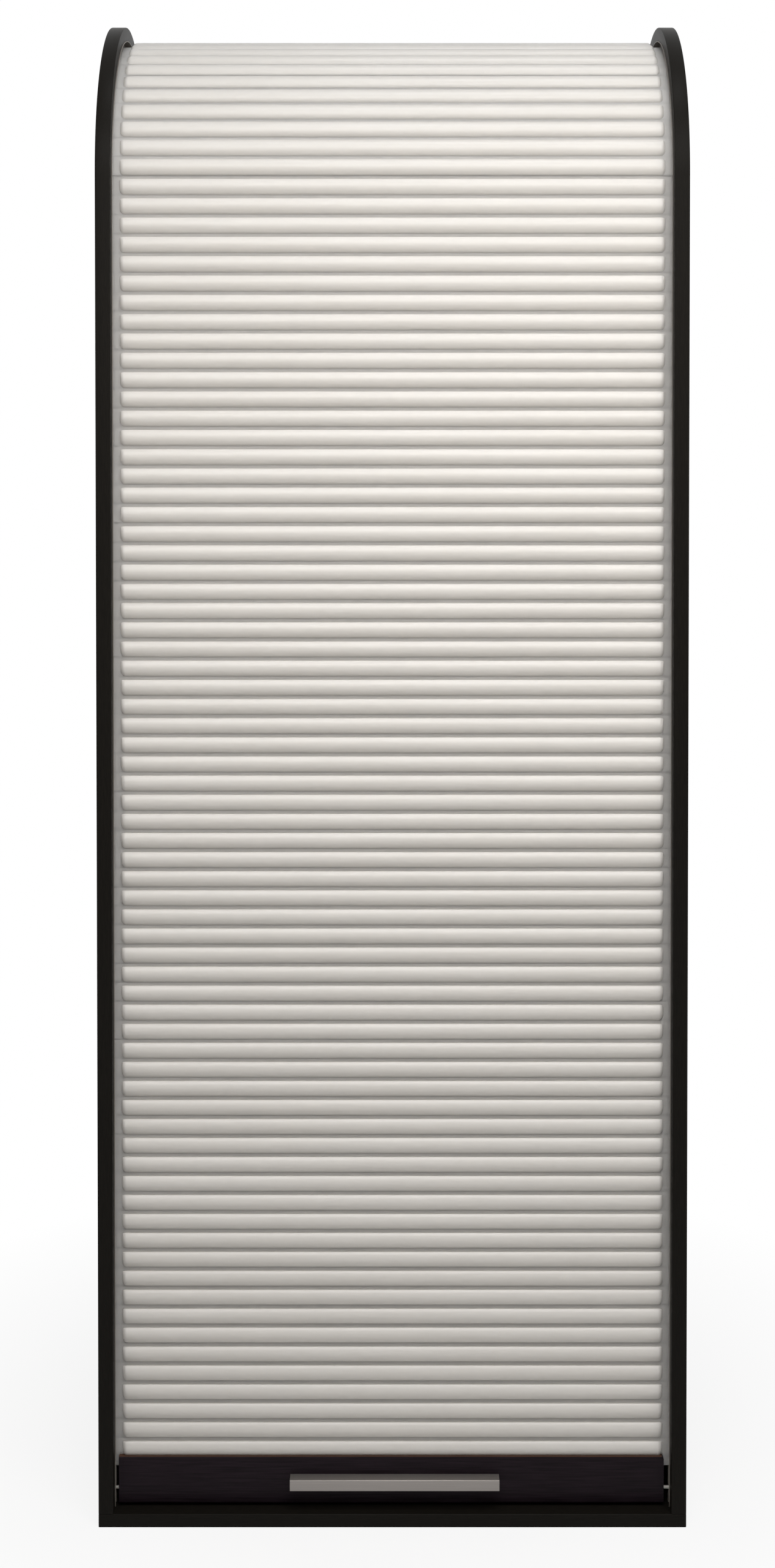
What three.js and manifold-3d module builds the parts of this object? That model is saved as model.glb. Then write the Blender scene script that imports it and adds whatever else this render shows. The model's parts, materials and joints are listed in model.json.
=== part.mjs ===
// Tambour door cabinet: a tall office cupboard with a half-round top and a roll-up slatted curtain.
// Millimetres, +Z up, front towards -Y. The origin is under the middle of the base, on the floor.
// The curtain runs in channels let into the side panels: up the front, round the arch, down the back.

import * as THREE from 'three';
import { mergeVertices } from 'three/addons/utils/BufferGeometryUtils.js';
import Module from 'manifold-3d';

const wasm = await Module();
wasm.setup();

// Overall size
const cabinetWidth = 790;
const cabinetDepth = 440;
const cabinetHeight = 2035;

// Boards
const panelThickness = 20;
const baseThickness = 18;
const shelfThickness = 18;
const innerBackThickness = 4;
const outerBackThickness = 4;

// Clearances
const fitGap = 0.3;
const cutOverrun = 2;
const weldDistance = 0.0001;

// Channel for the curtain, measured inwards from the edge of the side panel
const grooveInset = 18.5;
const grooveWidth = 14.6;
const grooveDepth = 10;
const channelWall = 1.2;
const channelProud = 1;

// Curtain: a mat of slats on one thin sheet, which is notched behind each hinge line
const slatPitch = 25.87;
const sheetThickness = 3;
const sheetRearPlay = 0.6;
const tongueEndPlay = 0.6;
const bulgeHeight = 6;
const bulgeShare = 0.66;
const bulgeSetback = 10;
const bulgeEndRadius = 4.5;
const bulgeEndShare = 0.4;
const bulgeRootShare = 0.4;
const bulgeFacets = 5;
const notchDepth = 2;
const notchHalfWidth = 0.9;
const tailSlats = 4;

// Lead bar at the bottom of the curtain
const barHeight = 63;
const barThickness = 16;
const barSideGap = 5.6;
const barInset = 20;
const barSideShift = -1.5;
const barRestGap = 5;
const barCover = 3.5;
const kerfDepth = 16;
const flapScrewCount = 5;
const flapScrewEndMargin = 60;

// Guide pins in the ends of the lead bar
const guidePinRadius = 2.2;
const guidePinRise = 17;
const guidePinSocket = 20;
const guidePinReach = 9.5;
const guidePinChamfer = 0.8;

// Handle: an aluminium channel, open below
const handleLength = 282;
const handleHeight = 14.5;
const handleDepth = 17.2;
const handleWall = 2.4;
const handleCorner = 1.2;
const handleShift = 3;
const handleRise = 32.4;
const handleScrewSpacing = 224;

// Screws of the handle and the curtain flap
const handleScrewRadius = 2;
const handleScrewHeadRadius = 4;
const handleScrewHeadHeight = 2.2;
const handleScrewTip = 1.5;
const flapScrewRadius = 1.75;
const flapScrewHeadRadius = 3.4;
const flapScrewHeadHeight = 1.8;
const flapScrewBite = 3.5;

// Interior
const shelfCount = 4;
const fixedShelfNumber = 2;
const shelfFrontInset = 45;
const innerBackInset = 42;
const outerBackInset = 5;
const backSlotDepth = 6;

// Shelf pins and their drilled holes
const pegRadius = 2.5;
const pegLength = 9;
const pinCollarRadius = 4.5;
const pinCollarThickness = 1;
const studRadius = 3;
const studLength = 9;
const pinHoleDepth = 12;
const pinHoleSpacing = 32;
const pinHolesAboveAndBelow = 1;
const pinSetback = 37;

// Cam fittings of the fixed shelf and the ceiling board
const camRadius = 7.5;
const camHeight = 12.4;
const camSlotWidth = 2;
const camSlotDepth = 2.5;
const camSlotShare = 0.72;
const camFromPanel = 34;
const camSetback = 62;
const boltRadius = 3;
const boltNeckRadius = 2;
const boltNeckLength = 4;
const boltHeadRadius = 3.4;
const boltHeadLength = 2.6;
const boltBite = 9;

// Base screws, countersunk from below
const baseScrewRadius = 3.5;
const baseScrewHeadRadius = 5.5;
const baseScrewHeadHeight = 4;
const baseScrewBite = 32;
const baseScrewSetback = 70;

// Facets: of the half-round arch, of round pieces, and of small fasteners and their holes
const archFacets = 32;
const roundFacets = 12;
const fastenerFacets = 8;

// Places that follow from the sizes above
const innerHalf = cabinetWidth / 2 - panelThickness;
const archRadius = cabinetDepth / 2;
const springHeight = cabinetHeight - archRadius;
const panelBottom = baseThickness + fitGap;
const channelFront = grooveInset + fitGap;
const channelBack = grooveInset + grooveWidth - fitGap;
const channelFloor = innerHalf + grooveDepth - fitGap;
const sheetRearInset = channelBack - channelWall - sheetRearPlay;
const sheetFrontInset = sheetRearInset - sheetThickness;
const sheetRearRadius = archRadius - sheetRearInset;
const sheetFrontRadius = archRadius - sheetFrontInset;
const matHalf = channelFloor - channelWall - tongueEndPlay;
const bulgeHalf = innerHalf - bulgeSetback;

const barLength = 2 * (innerHalf - channelProud - barSideGap);
const barBottom = baseThickness + barRestGap;
const barTop = barBottom + barHeight;
const barFrontY = -archRadius + barInset;
const barBackY = barFrontY + barThickness;
const barLeft = barSideShift - barLength / 2;
const barRight = barSideShift + barLength / 2;
const kerfFrontY = -sheetFrontRadius - fitGap;
const kerfBackY = -sheetRearRadius + fitGap;

// The lowest slat ends a little below the lead bar's top, which covers its flat band
const frontRunHeight = springHeight - barTop + barCover;
const frontSlats = Math.round(frontRunHeight / slatPitch);
const frontPitch = frontRunHeight / frontSlats;
const archSlats = Math.round(Math.PI * sheetFrontRadius / slatPitch);
const archStep = Math.PI / archSlats;
const archPitch = 2 * sheetFrontRadius * Math.tan(archStep / 2);
const frontArcSlats = Math.ceil(archSlats / 2);

const ceilingTop = springHeight;
const ceilingBottom = ceilingTop - shelfThickness;
const innerBackY = archRadius - innerBackInset - innerBackThickness;
const outerBackY = archRadius - outerBackInset - outerBackThickness;
const shelfFrontY = -archRadius + shelfFrontInset;
const shelfBackY = innerBackY - fitGap;
const openHeight = ceilingBottom - baseThickness - shelfCount * shelfThickness;
const compartmentHeight = openHeight / (shelfCount + 1);
const looseShelfHalf = innerHalf - pinCollarThickness - 2 * fitGap;

const melamine = new THREE.MeshStandardMaterial({ color: 0x1c1b18, roughness: 0.55, metalness: 0 });
const darkWood = new THREE.MeshStandardMaterial({ color: 0x241e20, roughness: 0.5, metalness: 0 });
const slatPlastic = new THREE.MeshStandardMaterial({ color: 0xe4e0d8, roughness: 0.4, metalness: 0 });
const channelPlastic = new THREE.MeshStandardMaterial({ color: 0xb9b3a4, roughness: 0.5, metalness: 0 });
const hardboard = new THREE.MeshStandardMaterial({ color: 0x24221f, roughness: 0.7, metalness: 0 });
const aluminium = new THREE.MeshStandardMaterial({ color: 0x9b9da1, roughness: 0.35, metalness: 1 });
const zinc = new THREE.MeshStandardMaterial({ color: 0xa9abae, roughness: 0.4, metalness: 1 });
const pinNylon = new THREE.MeshStandardMaterial({ color: 0xd8d6d0, roughness: 0.45, metalness: 0 });

const cabinet = new THREE.Group();
cabinet.name = 'tambour_cabinet';

// Solids

// A closed geometry as a solid that can be joined and cut
function solidOf(geometry) {
  const bare = geometry.clone();
  bare.deleteAttribute('normal');
  bare.deleteAttribute('uv');
  const merged = mergeVertices(bare, weldDistance);
  const corners = merged.index.array;
  const kept = [];
  for (let i = 0; i < corners.length; i += 3) {
    const [a, b, c] = [corners[i], corners[i + 1], corners[i + 2]];
    if (a !== b && b !== c && c !== a) {
      kept.push(a, b, c);
    }
  }
  const mesh = new wasm.Mesh({
    numProp: 3,
    vertProperties: new Float32Array(merged.attributes.position.array),
    triVerts: new Uint32Array(kept),
  });
  return new wasm.Manifold(mesh);
}

// The geometry of a solid
function geometryOf(solid) {
  const mesh = solid.getMesh();
  const geometry = new THREE.BufferGeometry();
  geometry.setAttribute('position', new THREE.BufferAttribute(mesh.vertProperties, 3));
  geometry.setIndex(new THREE.BufferAttribute(mesh.triVerts, 1));
  return geometry;
}

function joined(solids) {
  return solids.reduce((whole, piece) => whole.add(piece));
}

function cut(solid, cutters) {
  return solid.subtract(joined(cutters));
}

// A box between two corners, given as [x, y, z]
function boxBetween(low, high) {
  const size = high.map((value, axis) => value - low[axis]);
  const middle = high.map((value, axis) => (value + low[axis]) / 2);
  return new THREE.BoxGeometry(...size).translate(...middle);
}

// An outline drawn in the side view (Y to the right, Z up), extruded across the cabinet between two X values
function extrudedAcross(shape, fromX, toX) {
  const low = Math.min(fromX, toX);
  const high = Math.max(fromX, toX);
  const geometry = new THREE.ExtrudeGeometry(shape, {
    depth: high - low,
    bevelEnabled: false,
    curveSegments: archFacets / 2,
  });
  const sideView = new THREE.Matrix4().makeBasis(
    new THREE.Vector3(0, 1, 0),
    new THREE.Vector3(0, 0, 1),
    new THREE.Vector3(1, 0, 0),
  );
  return geometry.applyMatrix4(sideView).translate(low, 0, 0);
}

// A round bar or hole along one axis, centred on the given point
function roundBar(axis, radius, length, centre, facets = fastenerFacets) {
  const geometry = new THREE.CylinderGeometry(radius, radius, length, facets);
  if (axis === 'x') {
    geometry.rotateZ(-Math.PI / 2);
  }
  if (axis === 'z') {
    geometry.rotateX(Math.PI / 2);
  }
  return geometry.translate(...centre);
}

// A turned piece from [radius, height] pairs, with its axis along +Z
function turned(profile) {
  const points = profile.map(([radius, height]) => new THREE.Vector2(radius, height));
  return new THREE.LatheGeometry(points, fastenerFacets).rotateX(Math.PI / 2);
}

function addPiece(name, geometry, material) {
  const mesh = new THREE.Mesh(geometry, material);
  mesh.name = name;
  cabinet.add(mesh);
  return mesh;
}

// Outlines in the side view

// The side panel's outline, drawn in from its edge by an inset
function archOutline(inset, bottom) {
  const radius = archRadius - inset;
  const shape = new THREE.Shape();
  shape.moveTo(-radius, bottom);
  shape.lineTo(radius, bottom);
  shape.lineTo(radius, springHeight);
  shape.absarc(0, springHeight, radius, 0, Math.PI, false);
  shape.lineTo(-radius, bottom);
  return shape;
}

// The band between two insets, up the front, round the arch and down the back
function horseshoe(outerInset, innerInset, bottom) {
  const outer = archRadius - outerInset;
  const inner = archRadius - innerInset;
  const shape = new THREE.Shape();
  shape.moveTo(outer, bottom);
  shape.lineTo(outer, springHeight);
  shape.absarc(0, springHeight, outer, 0, Math.PI, false);
  shape.lineTo(-outer, bottom);
  shape.lineTo(-inner, bottom);
  shape.lineTo(-inner, springHeight);
  shape.absarc(0, springHeight, inner, Math.PI, 0, true);
  shape.lineTo(inner, bottom);
  shape.lineTo(outer, bottom);
  return shape;
}

// Shelf levels, from the lowest shelf up

function shelfBottom(number) {
  return baseThickness + number * compartmentHeight + (number - 1) * shelfThickness;
}

const shelfNumbers = Array.from({ length: shelfCount }, (_, i) => i + 1);
const looseShelves = shelfNumbers.filter((number) => number !== fixedShelfNumber);
const camBoards = [
  { label: 'shelf', bottom: shelfBottom(fixedShelfNumber) },
  { label: 'ceiling', bottom: ceilingBottom },
];
const sides = [
  { label: 'left', sign: -1 },
  { label: 'right', sign: 1 },
];
const pinRows = [
  { label: 'front', y: shelfFrontY + pinSetback },
  { label: 'rear', y: shelfBackY - pinSetback },
];
const camRows = [
  { label: 'front', y: shelfFrontY + camSetback },
  { label: 'rear', y: shelfBackY - camSetback },
];
const baseScrewRows = [
  { label: 'front', y: -archRadius + baseScrewSetback },
  { label: 'rear', y: archRadius - baseScrewSetback },
];

function pinHeight(number) {
  return shelfBottom(number) - fitGap - studRadius;
}

// Side panels

// Blind holes in the inner face: shelf pins, and the bolts of the cam fittings
function panelHoles(sign) {
  const holes = [];
  const pinHoleX = sign * (innerHalf + pinHoleDepth / 2 - cutOverrun / 2);
  for (const number of looseShelves) {
    for (const row of pinRows) {
      for (let step = -pinHolesAboveAndBelow; step <= pinHolesAboveAndBelow; step += 1) {
        const z = pinHeight(number) + step * pinHoleSpacing;
        const bore = roundBar('x', pegRadius + fitGap, pinHoleDepth + cutOverrun, [pinHoleX, row.y, z]);
        holes.push(solidOf(bore));
      }
    }
  }
  const boltHoleX = sign * (innerHalf + boltBite / 2 + fitGap / 2 - cutOverrun / 2);
  for (const board of camBoards) {
    for (const row of camRows) {
      const centre = [boltHoleX, row.y, board.bottom + shelfThickness / 2];
      const bore = roundBar('x', boltRadius + fitGap, boltBite + fitGap + cutOverrun, centre);
      holes.push(solidOf(bore));
    }
  }
  return holes;
}

// Blind holes in the bottom edge for the base screws
function panelFootHoles(sign) {
  const x = sign * (innerHalf + panelThickness / 2);
  const depth = baseScrewBite + fitGap;
  const z = panelBottom + depth / 2 - cutOverrun / 2;
  return baseScrewRows.map((row) => solidOf(
    roundBar('z', baseScrewRadius + fitGap, depth + cutOverrun, [x, row.y, z]),
  ));
}

function backSlot(sign, frontY, thickness) {
  const mouth = sign * (innerHalf - cutOverrun);
  const floor = sign * (innerHalf + backSlotDepth);
  return solidOf(boxBetween(
    [Math.min(mouth, floor), frontY - fitGap, panelBottom - cutOverrun],
    [Math.max(mouth, floor), frontY + thickness + fitGap, springHeight + fitGap],
  ));
}

function sidePanel(side) {
  const board = solidOf(extrudedAcross(
    archOutline(0, panelBottom),
    side.sign * innerHalf,
    side.sign * cabinetWidth / 2,
  ));
  const groove = solidOf(extrudedAcross(
    horseshoe(grooveInset, grooveInset + grooveWidth, panelBottom - cutOverrun),
    side.sign * (innerHalf - cutOverrun),
    side.sign * (innerHalf + grooveDepth),
  ));
  const cutters = [
    groove,
    backSlot(side.sign, innerBackY, innerBackThickness),
    backSlot(side.sign, outerBackY, outerBackThickness),
    ...panelHoles(side.sign),
    ...panelFootHoles(side.sign),
  ];
  addPiece(`side_panel_${side.label}`, geometryOf(cut(board, cutters)), melamine);
}

// U-shaped plastic channel that lines the groove, with its lips just proud of the panel
function guideChannel(side) {
  const body = solidOf(extrudedAcross(
    horseshoe(channelFront, channelBack, panelBottom),
    side.sign * (innerHalf - channelProud),
    side.sign * channelFloor,
  ));
  const hollow = solidOf(extrudedAcross(
    horseshoe(channelFront + channelWall, channelBack - channelWall, panelBottom - cutOverrun),
    side.sign * (innerHalf - channelProud - cutOverrun),
    side.sign * (channelFloor - channelWall),
  ));
  addPiece(`guide_channel_${side.label}`, geometryOf(cut(body, [hollow])), channelPlastic);
}

// Base plate under both panels, with countersunk screw holes
function basePlate() {
  const board = solidOf(boxBetween(
    [-cabinetWidth / 2, -archRadius, 0],
    [cabinetWidth / 2, archRadius, baseThickness],
  ));
  const holes = [];
  for (const side of sides) {
    for (const row of baseScrewRows) {
      const profile = [
        [0, -cutOverrun],
        [baseScrewHeadRadius + fitGap, -cutOverrun],
        [baseScrewHeadRadius + fitGap, fitGap],
        [baseScrewRadius + fitGap, fitGap + baseScrewHeadHeight],
        [baseScrewRadius + fitGap, baseThickness + cutOverrun],
        [0, baseThickness + cutOverrun],
      ];
      const x = side.sign * (innerHalf + panelThickness / 2);
      holes.push(solidOf(turned(profile).translate(x, row.y, 0)));
    }
  }
  addPiece('base_plate', geometryOf(cut(board, holes)), melamine);
}

function baseScrews() {
  const profile = [
    [0, fitGap],
    [baseScrewHeadRadius, fitGap],
    [baseScrewRadius, fitGap + baseScrewHeadHeight],
    [baseScrewRadius, panelBottom + baseScrewBite - baseScrewRadius],
    [0, panelBottom + baseScrewBite],
  ];
  for (const side of sides) {
    for (const row of baseScrewRows) {
      const screw = addPiece(`base_screw_${row.label}_${side.label}`, turned(profile), zinc);
      screw.position.set(side.sign * (innerHalf + panelThickness / 2), row.y, 0);
    }
  }
}

// Boards held by cam fittings: the fixed shelf and the ceiling board

const boltLength = boltBite + camFromPanel + boltHeadLength / 2;

function camBoard(name, bottom) {
  const board = solidOf(boxBetween(
    [-innerHalf + fitGap, shelfFrontY, bottom],
    [innerHalf - fitGap, shelfBackY, bottom + shelfThickness],
  ));
  const holes = [];
  for (const side of sides) {
    for (const row of camRows) {
      const camX = side.sign * (innerHalf - camFromPanel);
      const pocketHeight = camHeight + fitGap + cutOverrun;
      const pocketZ = bottom - cutOverrun + pocketHeight / 2;
      const pocketCentre = [camX, row.y, pocketZ];
      holes.push(solidOf(roundBar('z', camRadius + fitGap, pocketHeight, pocketCentre, roundFacets)));
      const boreLength = camFromPanel + cutOverrun;
      const boreX = side.sign * (innerHalf + cutOverrun - boreLength / 2);
      const boreCentre = [boreX, row.y, bottom + shelfThickness / 2];
      holes.push(solidOf(roundBar('x', boltHeadRadius + fitGap, boreLength, boreCentre)));
    }
  }
  addPiece(name, geometryOf(cut(board, holes)), melamine);
}

// The cam's screwdriver cross faces down; its side is bored for the bolt's head
function camGeometry(sign) {
  const body = solidOf(roundBar('z', camRadius, camHeight, [0, 0, camHeight / 2], roundFacets));
  const boreZ = shelfThickness / 2;
  const boreLength = camRadius + boltHeadLength + cutOverrun;
  const boreX = sign * (boreLength / 2 - boltHeadLength);
  const slotHalf = camRadius * camSlotShare;
  const cutters = [
    solidOf(roundBar('x', boltHeadRadius + fitGap, boreLength, [boreX, 0, boreZ])),
    solidOf(boxBetween(
      [-slotHalf, -camSlotWidth / 2, -cutOverrun],
      [slotHalf, camSlotWidth / 2, camSlotDepth],
    )),
    solidOf(boxBetween(
      [-camSlotWidth / 2, -slotHalf, -cutOverrun],
      [camSlotWidth / 2, slotHalf, camSlotDepth],
    )),
  ];
  return geometryOf(cut(body, cutters));
}

// The bolt lies along +Z here, from its tip in the panel to its head in the cam
function boltGeometry() {
  const neckStart = boltLength - boltHeadLength - boltNeckLength;
  return turned([
    [0, 0],
    [boltRadius, 0],
    [boltRadius, neckStart],
    [boltNeckRadius, neckStart],
    [boltNeckRadius, boltLength - boltHeadLength],
    [boltHeadRadius, boltLength - boltHeadLength],
    [boltHeadRadius, boltLength],
    [0, boltLength],
  ]);
}

function camFittings() {
  for (const board of camBoards) {
    for (const side of sides) {
      for (const row of camRows) {
        const place = `${board.label}_${row.label}_${side.label}`;
        const cam = addPiece(`cam_${place}`, camGeometry(side.sign), zinc);
        cam.position.set(side.sign * (innerHalf - camFromPanel), row.y, board.bottom);
        const bolt = addPiece(`cam_bolt_${place}`, boltGeometry(), zinc);
        bolt.rotation.y = -side.sign * Math.PI / 2;
        bolt.position.set(side.sign * (innerHalf + boltBite), row.y, board.bottom + shelfThickness / 2);
      }
    }
  }
}

// Loose shelves on pins

function looseShelf(number) {
  const bottom = shelfBottom(number);
  const high = [looseShelfHalf, shelfBackY, bottom + shelfThickness];
  const board = boxBetween([-looseShelfHalf, shelfFrontY, bottom], high);
  addPiece(`shelf_${number}`, board, melamine);
}

// The pin lies along +Z here, from the end of its peg to the end of the stud under the shelf
function shelfPinGeometry() {
  const collarStart = pegLength + fitGap;
  const collarEnd = collarStart + pinCollarThickness;
  return turned([
    [0, 0],
    [pegRadius, 0],
    [pegRadius, collarStart],
    [pinCollarRadius, collarStart],
    [pinCollarRadius, collarEnd],
    [studRadius, collarEnd],
    [studRadius, collarEnd + studLength],
    [0, collarEnd + studLength],
  ]);
}

function shelfPins() {
  for (const number of looseShelves) {
    for (const side of sides) {
      for (const row of pinRows) {
        const pin = addPiece(`shelf_pin_${number}_${row.label}_${side.label}`, shelfPinGeometry(), zinc);
        pin.rotation.y = -side.sign * Math.PI / 2;
        pin.position.set(side.sign * (innerHalf + pegLength), row.y, pinHeight(number));
      }
    }
  }
}

// Back boards, slid into slots in the side panels
function backBoard(name, frontY, thickness) {
  const half = innerHalf + backSlotDepth - fitGap;
  const board = boxBetween([-half, frontY, panelBottom], [half, frontY + thickness, springHeight]);
  addPiece(name, board, hardboard);
}

// Curtain

// One slat's bulge, drawn where the front run passes the arch's centre height.
// Its section is an arc on a root that lies inside the sheet, and it is lower at its two ends.
function bulgeGeometry(pitch) {
  const half = pitch * bulgeShare / 2;
  const root = sheetThickness * bulgeRootShare;
  const arcRadius = (half * half + bulgeHeight * bulgeHeight) / (2 * bulgeHeight);
  const arcReach = Math.asin(half / arcRadius);
  const section = [[-half, -root]];
  for (let i = 0; i <= bulgeFacets; i += 1) {
    const angle = arcReach * (2 * i / bulgeFacets - 1);
    const rise = arcRadius * Math.cos(angle) - (arcRadius - bulgeHeight);
    section.push([arcRadius * Math.sin(angle), rise]);
  }
  section.push([half, -root]);
  const stations = [
    [-bulgeHalf, bulgeEndShare],
    [-bulgeHalf + bulgeEndRadius, 1],
    [bulgeHalf - bulgeEndRadius, 1],
    [bulgeHalf, bulgeEndShare],
  ];
  const positions = [];
  for (const [x, riseShare] of stations) {
    for (const [along, rise] of section) {
      const height = rise > 0 ? rise * riseShare : rise;
      positions.push(x, -sheetFrontRadius - height, along);
    }
  }
  const count = section.length;
  const faces = [];
  for (let s = 0; s < stations.length - 1; s += 1) {
    for (let i = 0; i < count; i += 1) {
      const next = (i + 1) % count;
      const [a, b] = [s * count + i, s * count + next];
      const [c, d] = [a + count, b + count];
      faces.push(a, c, b, b, c, d);
    }
  }
  const last = (stations.length - 1) * count;
  for (let i = 1; i < count - 1; i += 1) {
    faces.push(0, i, i + 1);
    faces.push(last, last + i + 1, last + i);
  }
  const geometry = new THREE.BufferGeometry();
  geometry.setAttribute('position', new THREE.Float32BufferAttribute(positions, 3));
  geometry.setIndex(faces);
  return geometry;
}

// A section of curtain is a list of slats, each with its turn about the arch and its height, and a sheet
function curtainSection(name, sheet, slats, pitch, flapHoles) {
  const bulges = slats.map(({ turn, z }) => solidOf(
    bulgeGeometry(pitch).rotateX(-turn).translate(0, 0, z),
  ));
  const mat = joined([solidOf(extrudedAcross(sheet, -matHalf, matHalf)), ...bulges]);
  const finished = flapHoles.length > 0 ? cut(mat, flapHoles) : mat;
  addPiece(name, geometryOf(finished), slatPlastic);
}

// The sheet of a straight run. The hinge heights get a notch in the rear face; direction is -1 at the front
// of the cabinet and 1 at its back.
function straightSheet(direction, low, high, hinges) {
  const front = direction * sheetFrontRadius;
  const rear = direction * sheetRearRadius;
  const tip = direction * (sheetRearRadius + notchDepth);
  const shape = new THREE.Shape();
  shape.moveTo(front, low);
  shape.lineTo(front, high);
  shape.lineTo(rear, high);
  for (const z of hinges) {
    shape.lineTo(rear, z + notchHalfWidth);
    shape.lineTo(tip, z);
    shape.lineTo(rear, z - notchHalfWidth);
  }
  shape.lineTo(rear, low);
  shape.lineTo(front, low);
  return shape;
}

// A point of the arch at a turn from the front and a distance from the arch's centre
function archPoint(turn, radius) {
  return new THREE.Vector2(-radius * Math.cos(turn), springHeight + radius * Math.sin(turn));
}

// The sheet round part of the arch: flat over each slat, with a notched hinge between slats
function archSheet(firstSlat, lastSlat) {
  const corner = 1 / Math.cos(archStep / 2);
  const endTrim = fitGap / (2 * sheetFrontRadius);
  const shape = new THREE.Shape();
  const startTurn = firstSlat * archStep + endTrim;
  const endTurn = (lastSlat + 1) * archStep - endTrim;
  const points = [archPoint(startTurn, sheetFrontRadius * corner)];
  for (let hinge = firstSlat + 1; hinge <= lastSlat; hinge += 1) {
    points.push(archPoint(hinge * archStep, sheetFrontRadius * corner));
  }
  points.push(archPoint(endTurn, sheetFrontRadius * corner));
  points.push(archPoint(endTurn, sheetRearRadius * corner));
  const notchTurn = notchHalfWidth / sheetRearRadius;
  for (let hinge = lastSlat; hinge > firstSlat; hinge -= 1) {
    const turn = hinge * archStep;
    const shoulder = sheetRearRadius / Math.cos(archStep / 2 - notchTurn);
    points.push(archPoint(turn + notchTurn, shoulder));
    points.push(archPoint(turn, (sheetRearRadius + notchDepth) * corner));
    points.push(archPoint(turn - notchTurn, shoulder));
  }
  points.push(archPoint(startTurn, sheetRearRadius * corner));
  shape.setFromPoints(points);
  return shape;
}

// Clearance holes in the curtain's flap for the screws of the lead bar
const flapBottom = barTop - kerfDepth + fitGap;
const flapScrewZ = barTop - kerfDepth / 2;

function flapScrewPlaces() {
  const first = barLeft + flapScrewEndMargin;
  const spacing = (barLength - 2 * flapScrewEndMargin) / (flapScrewCount - 1);
  return Array.from({ length: flapScrewCount }, (_, i) => first + i * spacing);
}

function frontRun() {
  const slats = [];
  const hinges = [];
  for (let i = 0; i < frontSlats; i += 1) {
    slats.push({ turn: 0, z: springHeight - (i + 1 / 2) * frontPitch });
    if (i > 0) {
      hinges.push(springHeight - i * frontPitch);
    }
  }
  const sheet = straightSheet(-1, flapBottom, springHeight - fitGap / 2, hinges);
  const holeY = -(sheetFrontRadius + sheetRearRadius) / 2;
  const holes = flapScrewPlaces().map((x) => solidOf(
    roundBar('y', flapScrewRadius + fitGap, sheetThickness + cutOverrun, [x, holeY, flapScrewZ]),
  ));
  curtainSection('curtain_front_run', sheet, slats, frontPitch, holes);
}

function arcRun(name, firstSlat, lastSlat) {
  const slats = [];
  for (let i = firstSlat; i <= lastSlat; i += 1) {
    slats.push({ turn: (i + 1 / 2) * archStep, z: springHeight });
  }
  curtainSection(name, archSheet(firstSlat, lastSlat), slats, archPitch, []);
}

function tailRun() {
  const slats = [];
  const hinges = [];
  for (let i = 0; i < tailSlats; i += 1) {
    slats.push({ turn: Math.PI, z: springHeight - (i + 1 / 2) * slatPitch });
    if (i > 0) {
      hinges.push(springHeight - i * slatPitch);
    }
  }
  const sheet = straightSheet(1, springHeight - tailSlats * slatPitch, springHeight - fitGap / 2, hinges);
  curtainSection('curtain_tail', sheet, slats, slatPitch, []);
}

// Lead bar

const guidePinZ = barBottom + guidePinRise;
const guidePinY = -sheetRearRadius - guidePinRadius;
const handleBottom = barBottom + handleRise - handleHeight / 2;
const handleScrewZ = handleBottom + handleHeight / 2;
const handleScrewPlaces = [
  { label: 'left', x: handleShift - handleScrewSpacing / 2 },
  { label: 'right', x: handleShift + handleScrewSpacing / 2 },
];

function leadBar() {
  const board = solidOf(boxBetween([barLeft, barFrontY, barBottom], [barRight, barBackY, barTop]));
  const kerf = solidOf(boxBetween(
    [barLeft - cutOverrun, kerfFrontY, barTop - kerfDepth],
    [barRight + cutOverrun, kerfBackY, barTop + cutOverrun],
  ));
  const cutters = [kerf];
  const socket = guidePinSocket + fitGap + cutOverrun;
  const leftSocketX = barLeft - cutOverrun + socket / 2;
  const rightSocketX = barRight + cutOverrun - socket / 2;
  for (const x of [leftSocketX, rightSocketX]) {
    cutters.push(solidOf(roundBar('x', guidePinRadius + fitGap, socket, [x, guidePinY, guidePinZ])));
  }
  const throughLength = barThickness + 2 * cutOverrun;
  const throughY = (barFrontY + barBackY) / 2;
  for (const place of handleScrewPlaces) {
    const centre = [place.x, throughY, handleScrewZ];
    cutters.push(solidOf(roundBar('y', handleScrewRadius + fitGap, throughLength, centre)));
  }
  const pilotFront = kerfFrontY - flapScrewBite - fitGap;
  const pilotLength = barBackY + cutOverrun - pilotFront;
  const pilotY = pilotFront + pilotLength / 2;
  for (const x of flapScrewPlaces()) {
    cutters.push(solidOf(roundBar('y', flapScrewRadius + fitGap, pilotLength, [x, pilotY, flapScrewZ])));
  }
  addPiece('lead_bar', geometryOf(cut(board, cutters)), darkWood);
}

function guidePins() {
  const length = guidePinSocket + guidePinReach;
  const profile = [
    [0, 0],
    [guidePinRadius, 0],
    [guidePinRadius, length - guidePinChamfer],
    [guidePinRadius - guidePinChamfer, length],
    [0, length],
  ];
  const ends = [
    { label: 'left', x: barLeft + guidePinSocket, sign: -1 },
    { label: 'right', x: barRight - guidePinSocket, sign: 1 },
  ];
  for (const end of ends) {
    const pin = addPiece(`guide_pin_${end.label}`, turned(profile), pinNylon);
    pin.rotation.y = end.sign * Math.PI / 2;
    pin.position.set(end.x, guidePinY, guidePinZ);
  }
}

// A pan-head screw along +Z here, with its head at the start and its tip at the end
function screwGeometry(radius, headRadius, headHeight, length) {
  return turned([
    [0, 0],
    [headRadius, 0],
    [headRadius, headHeight],
    [radius, headHeight],
    [radius, headHeight + length - radius],
    [0, headHeight + length],
  ]);
}

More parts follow.
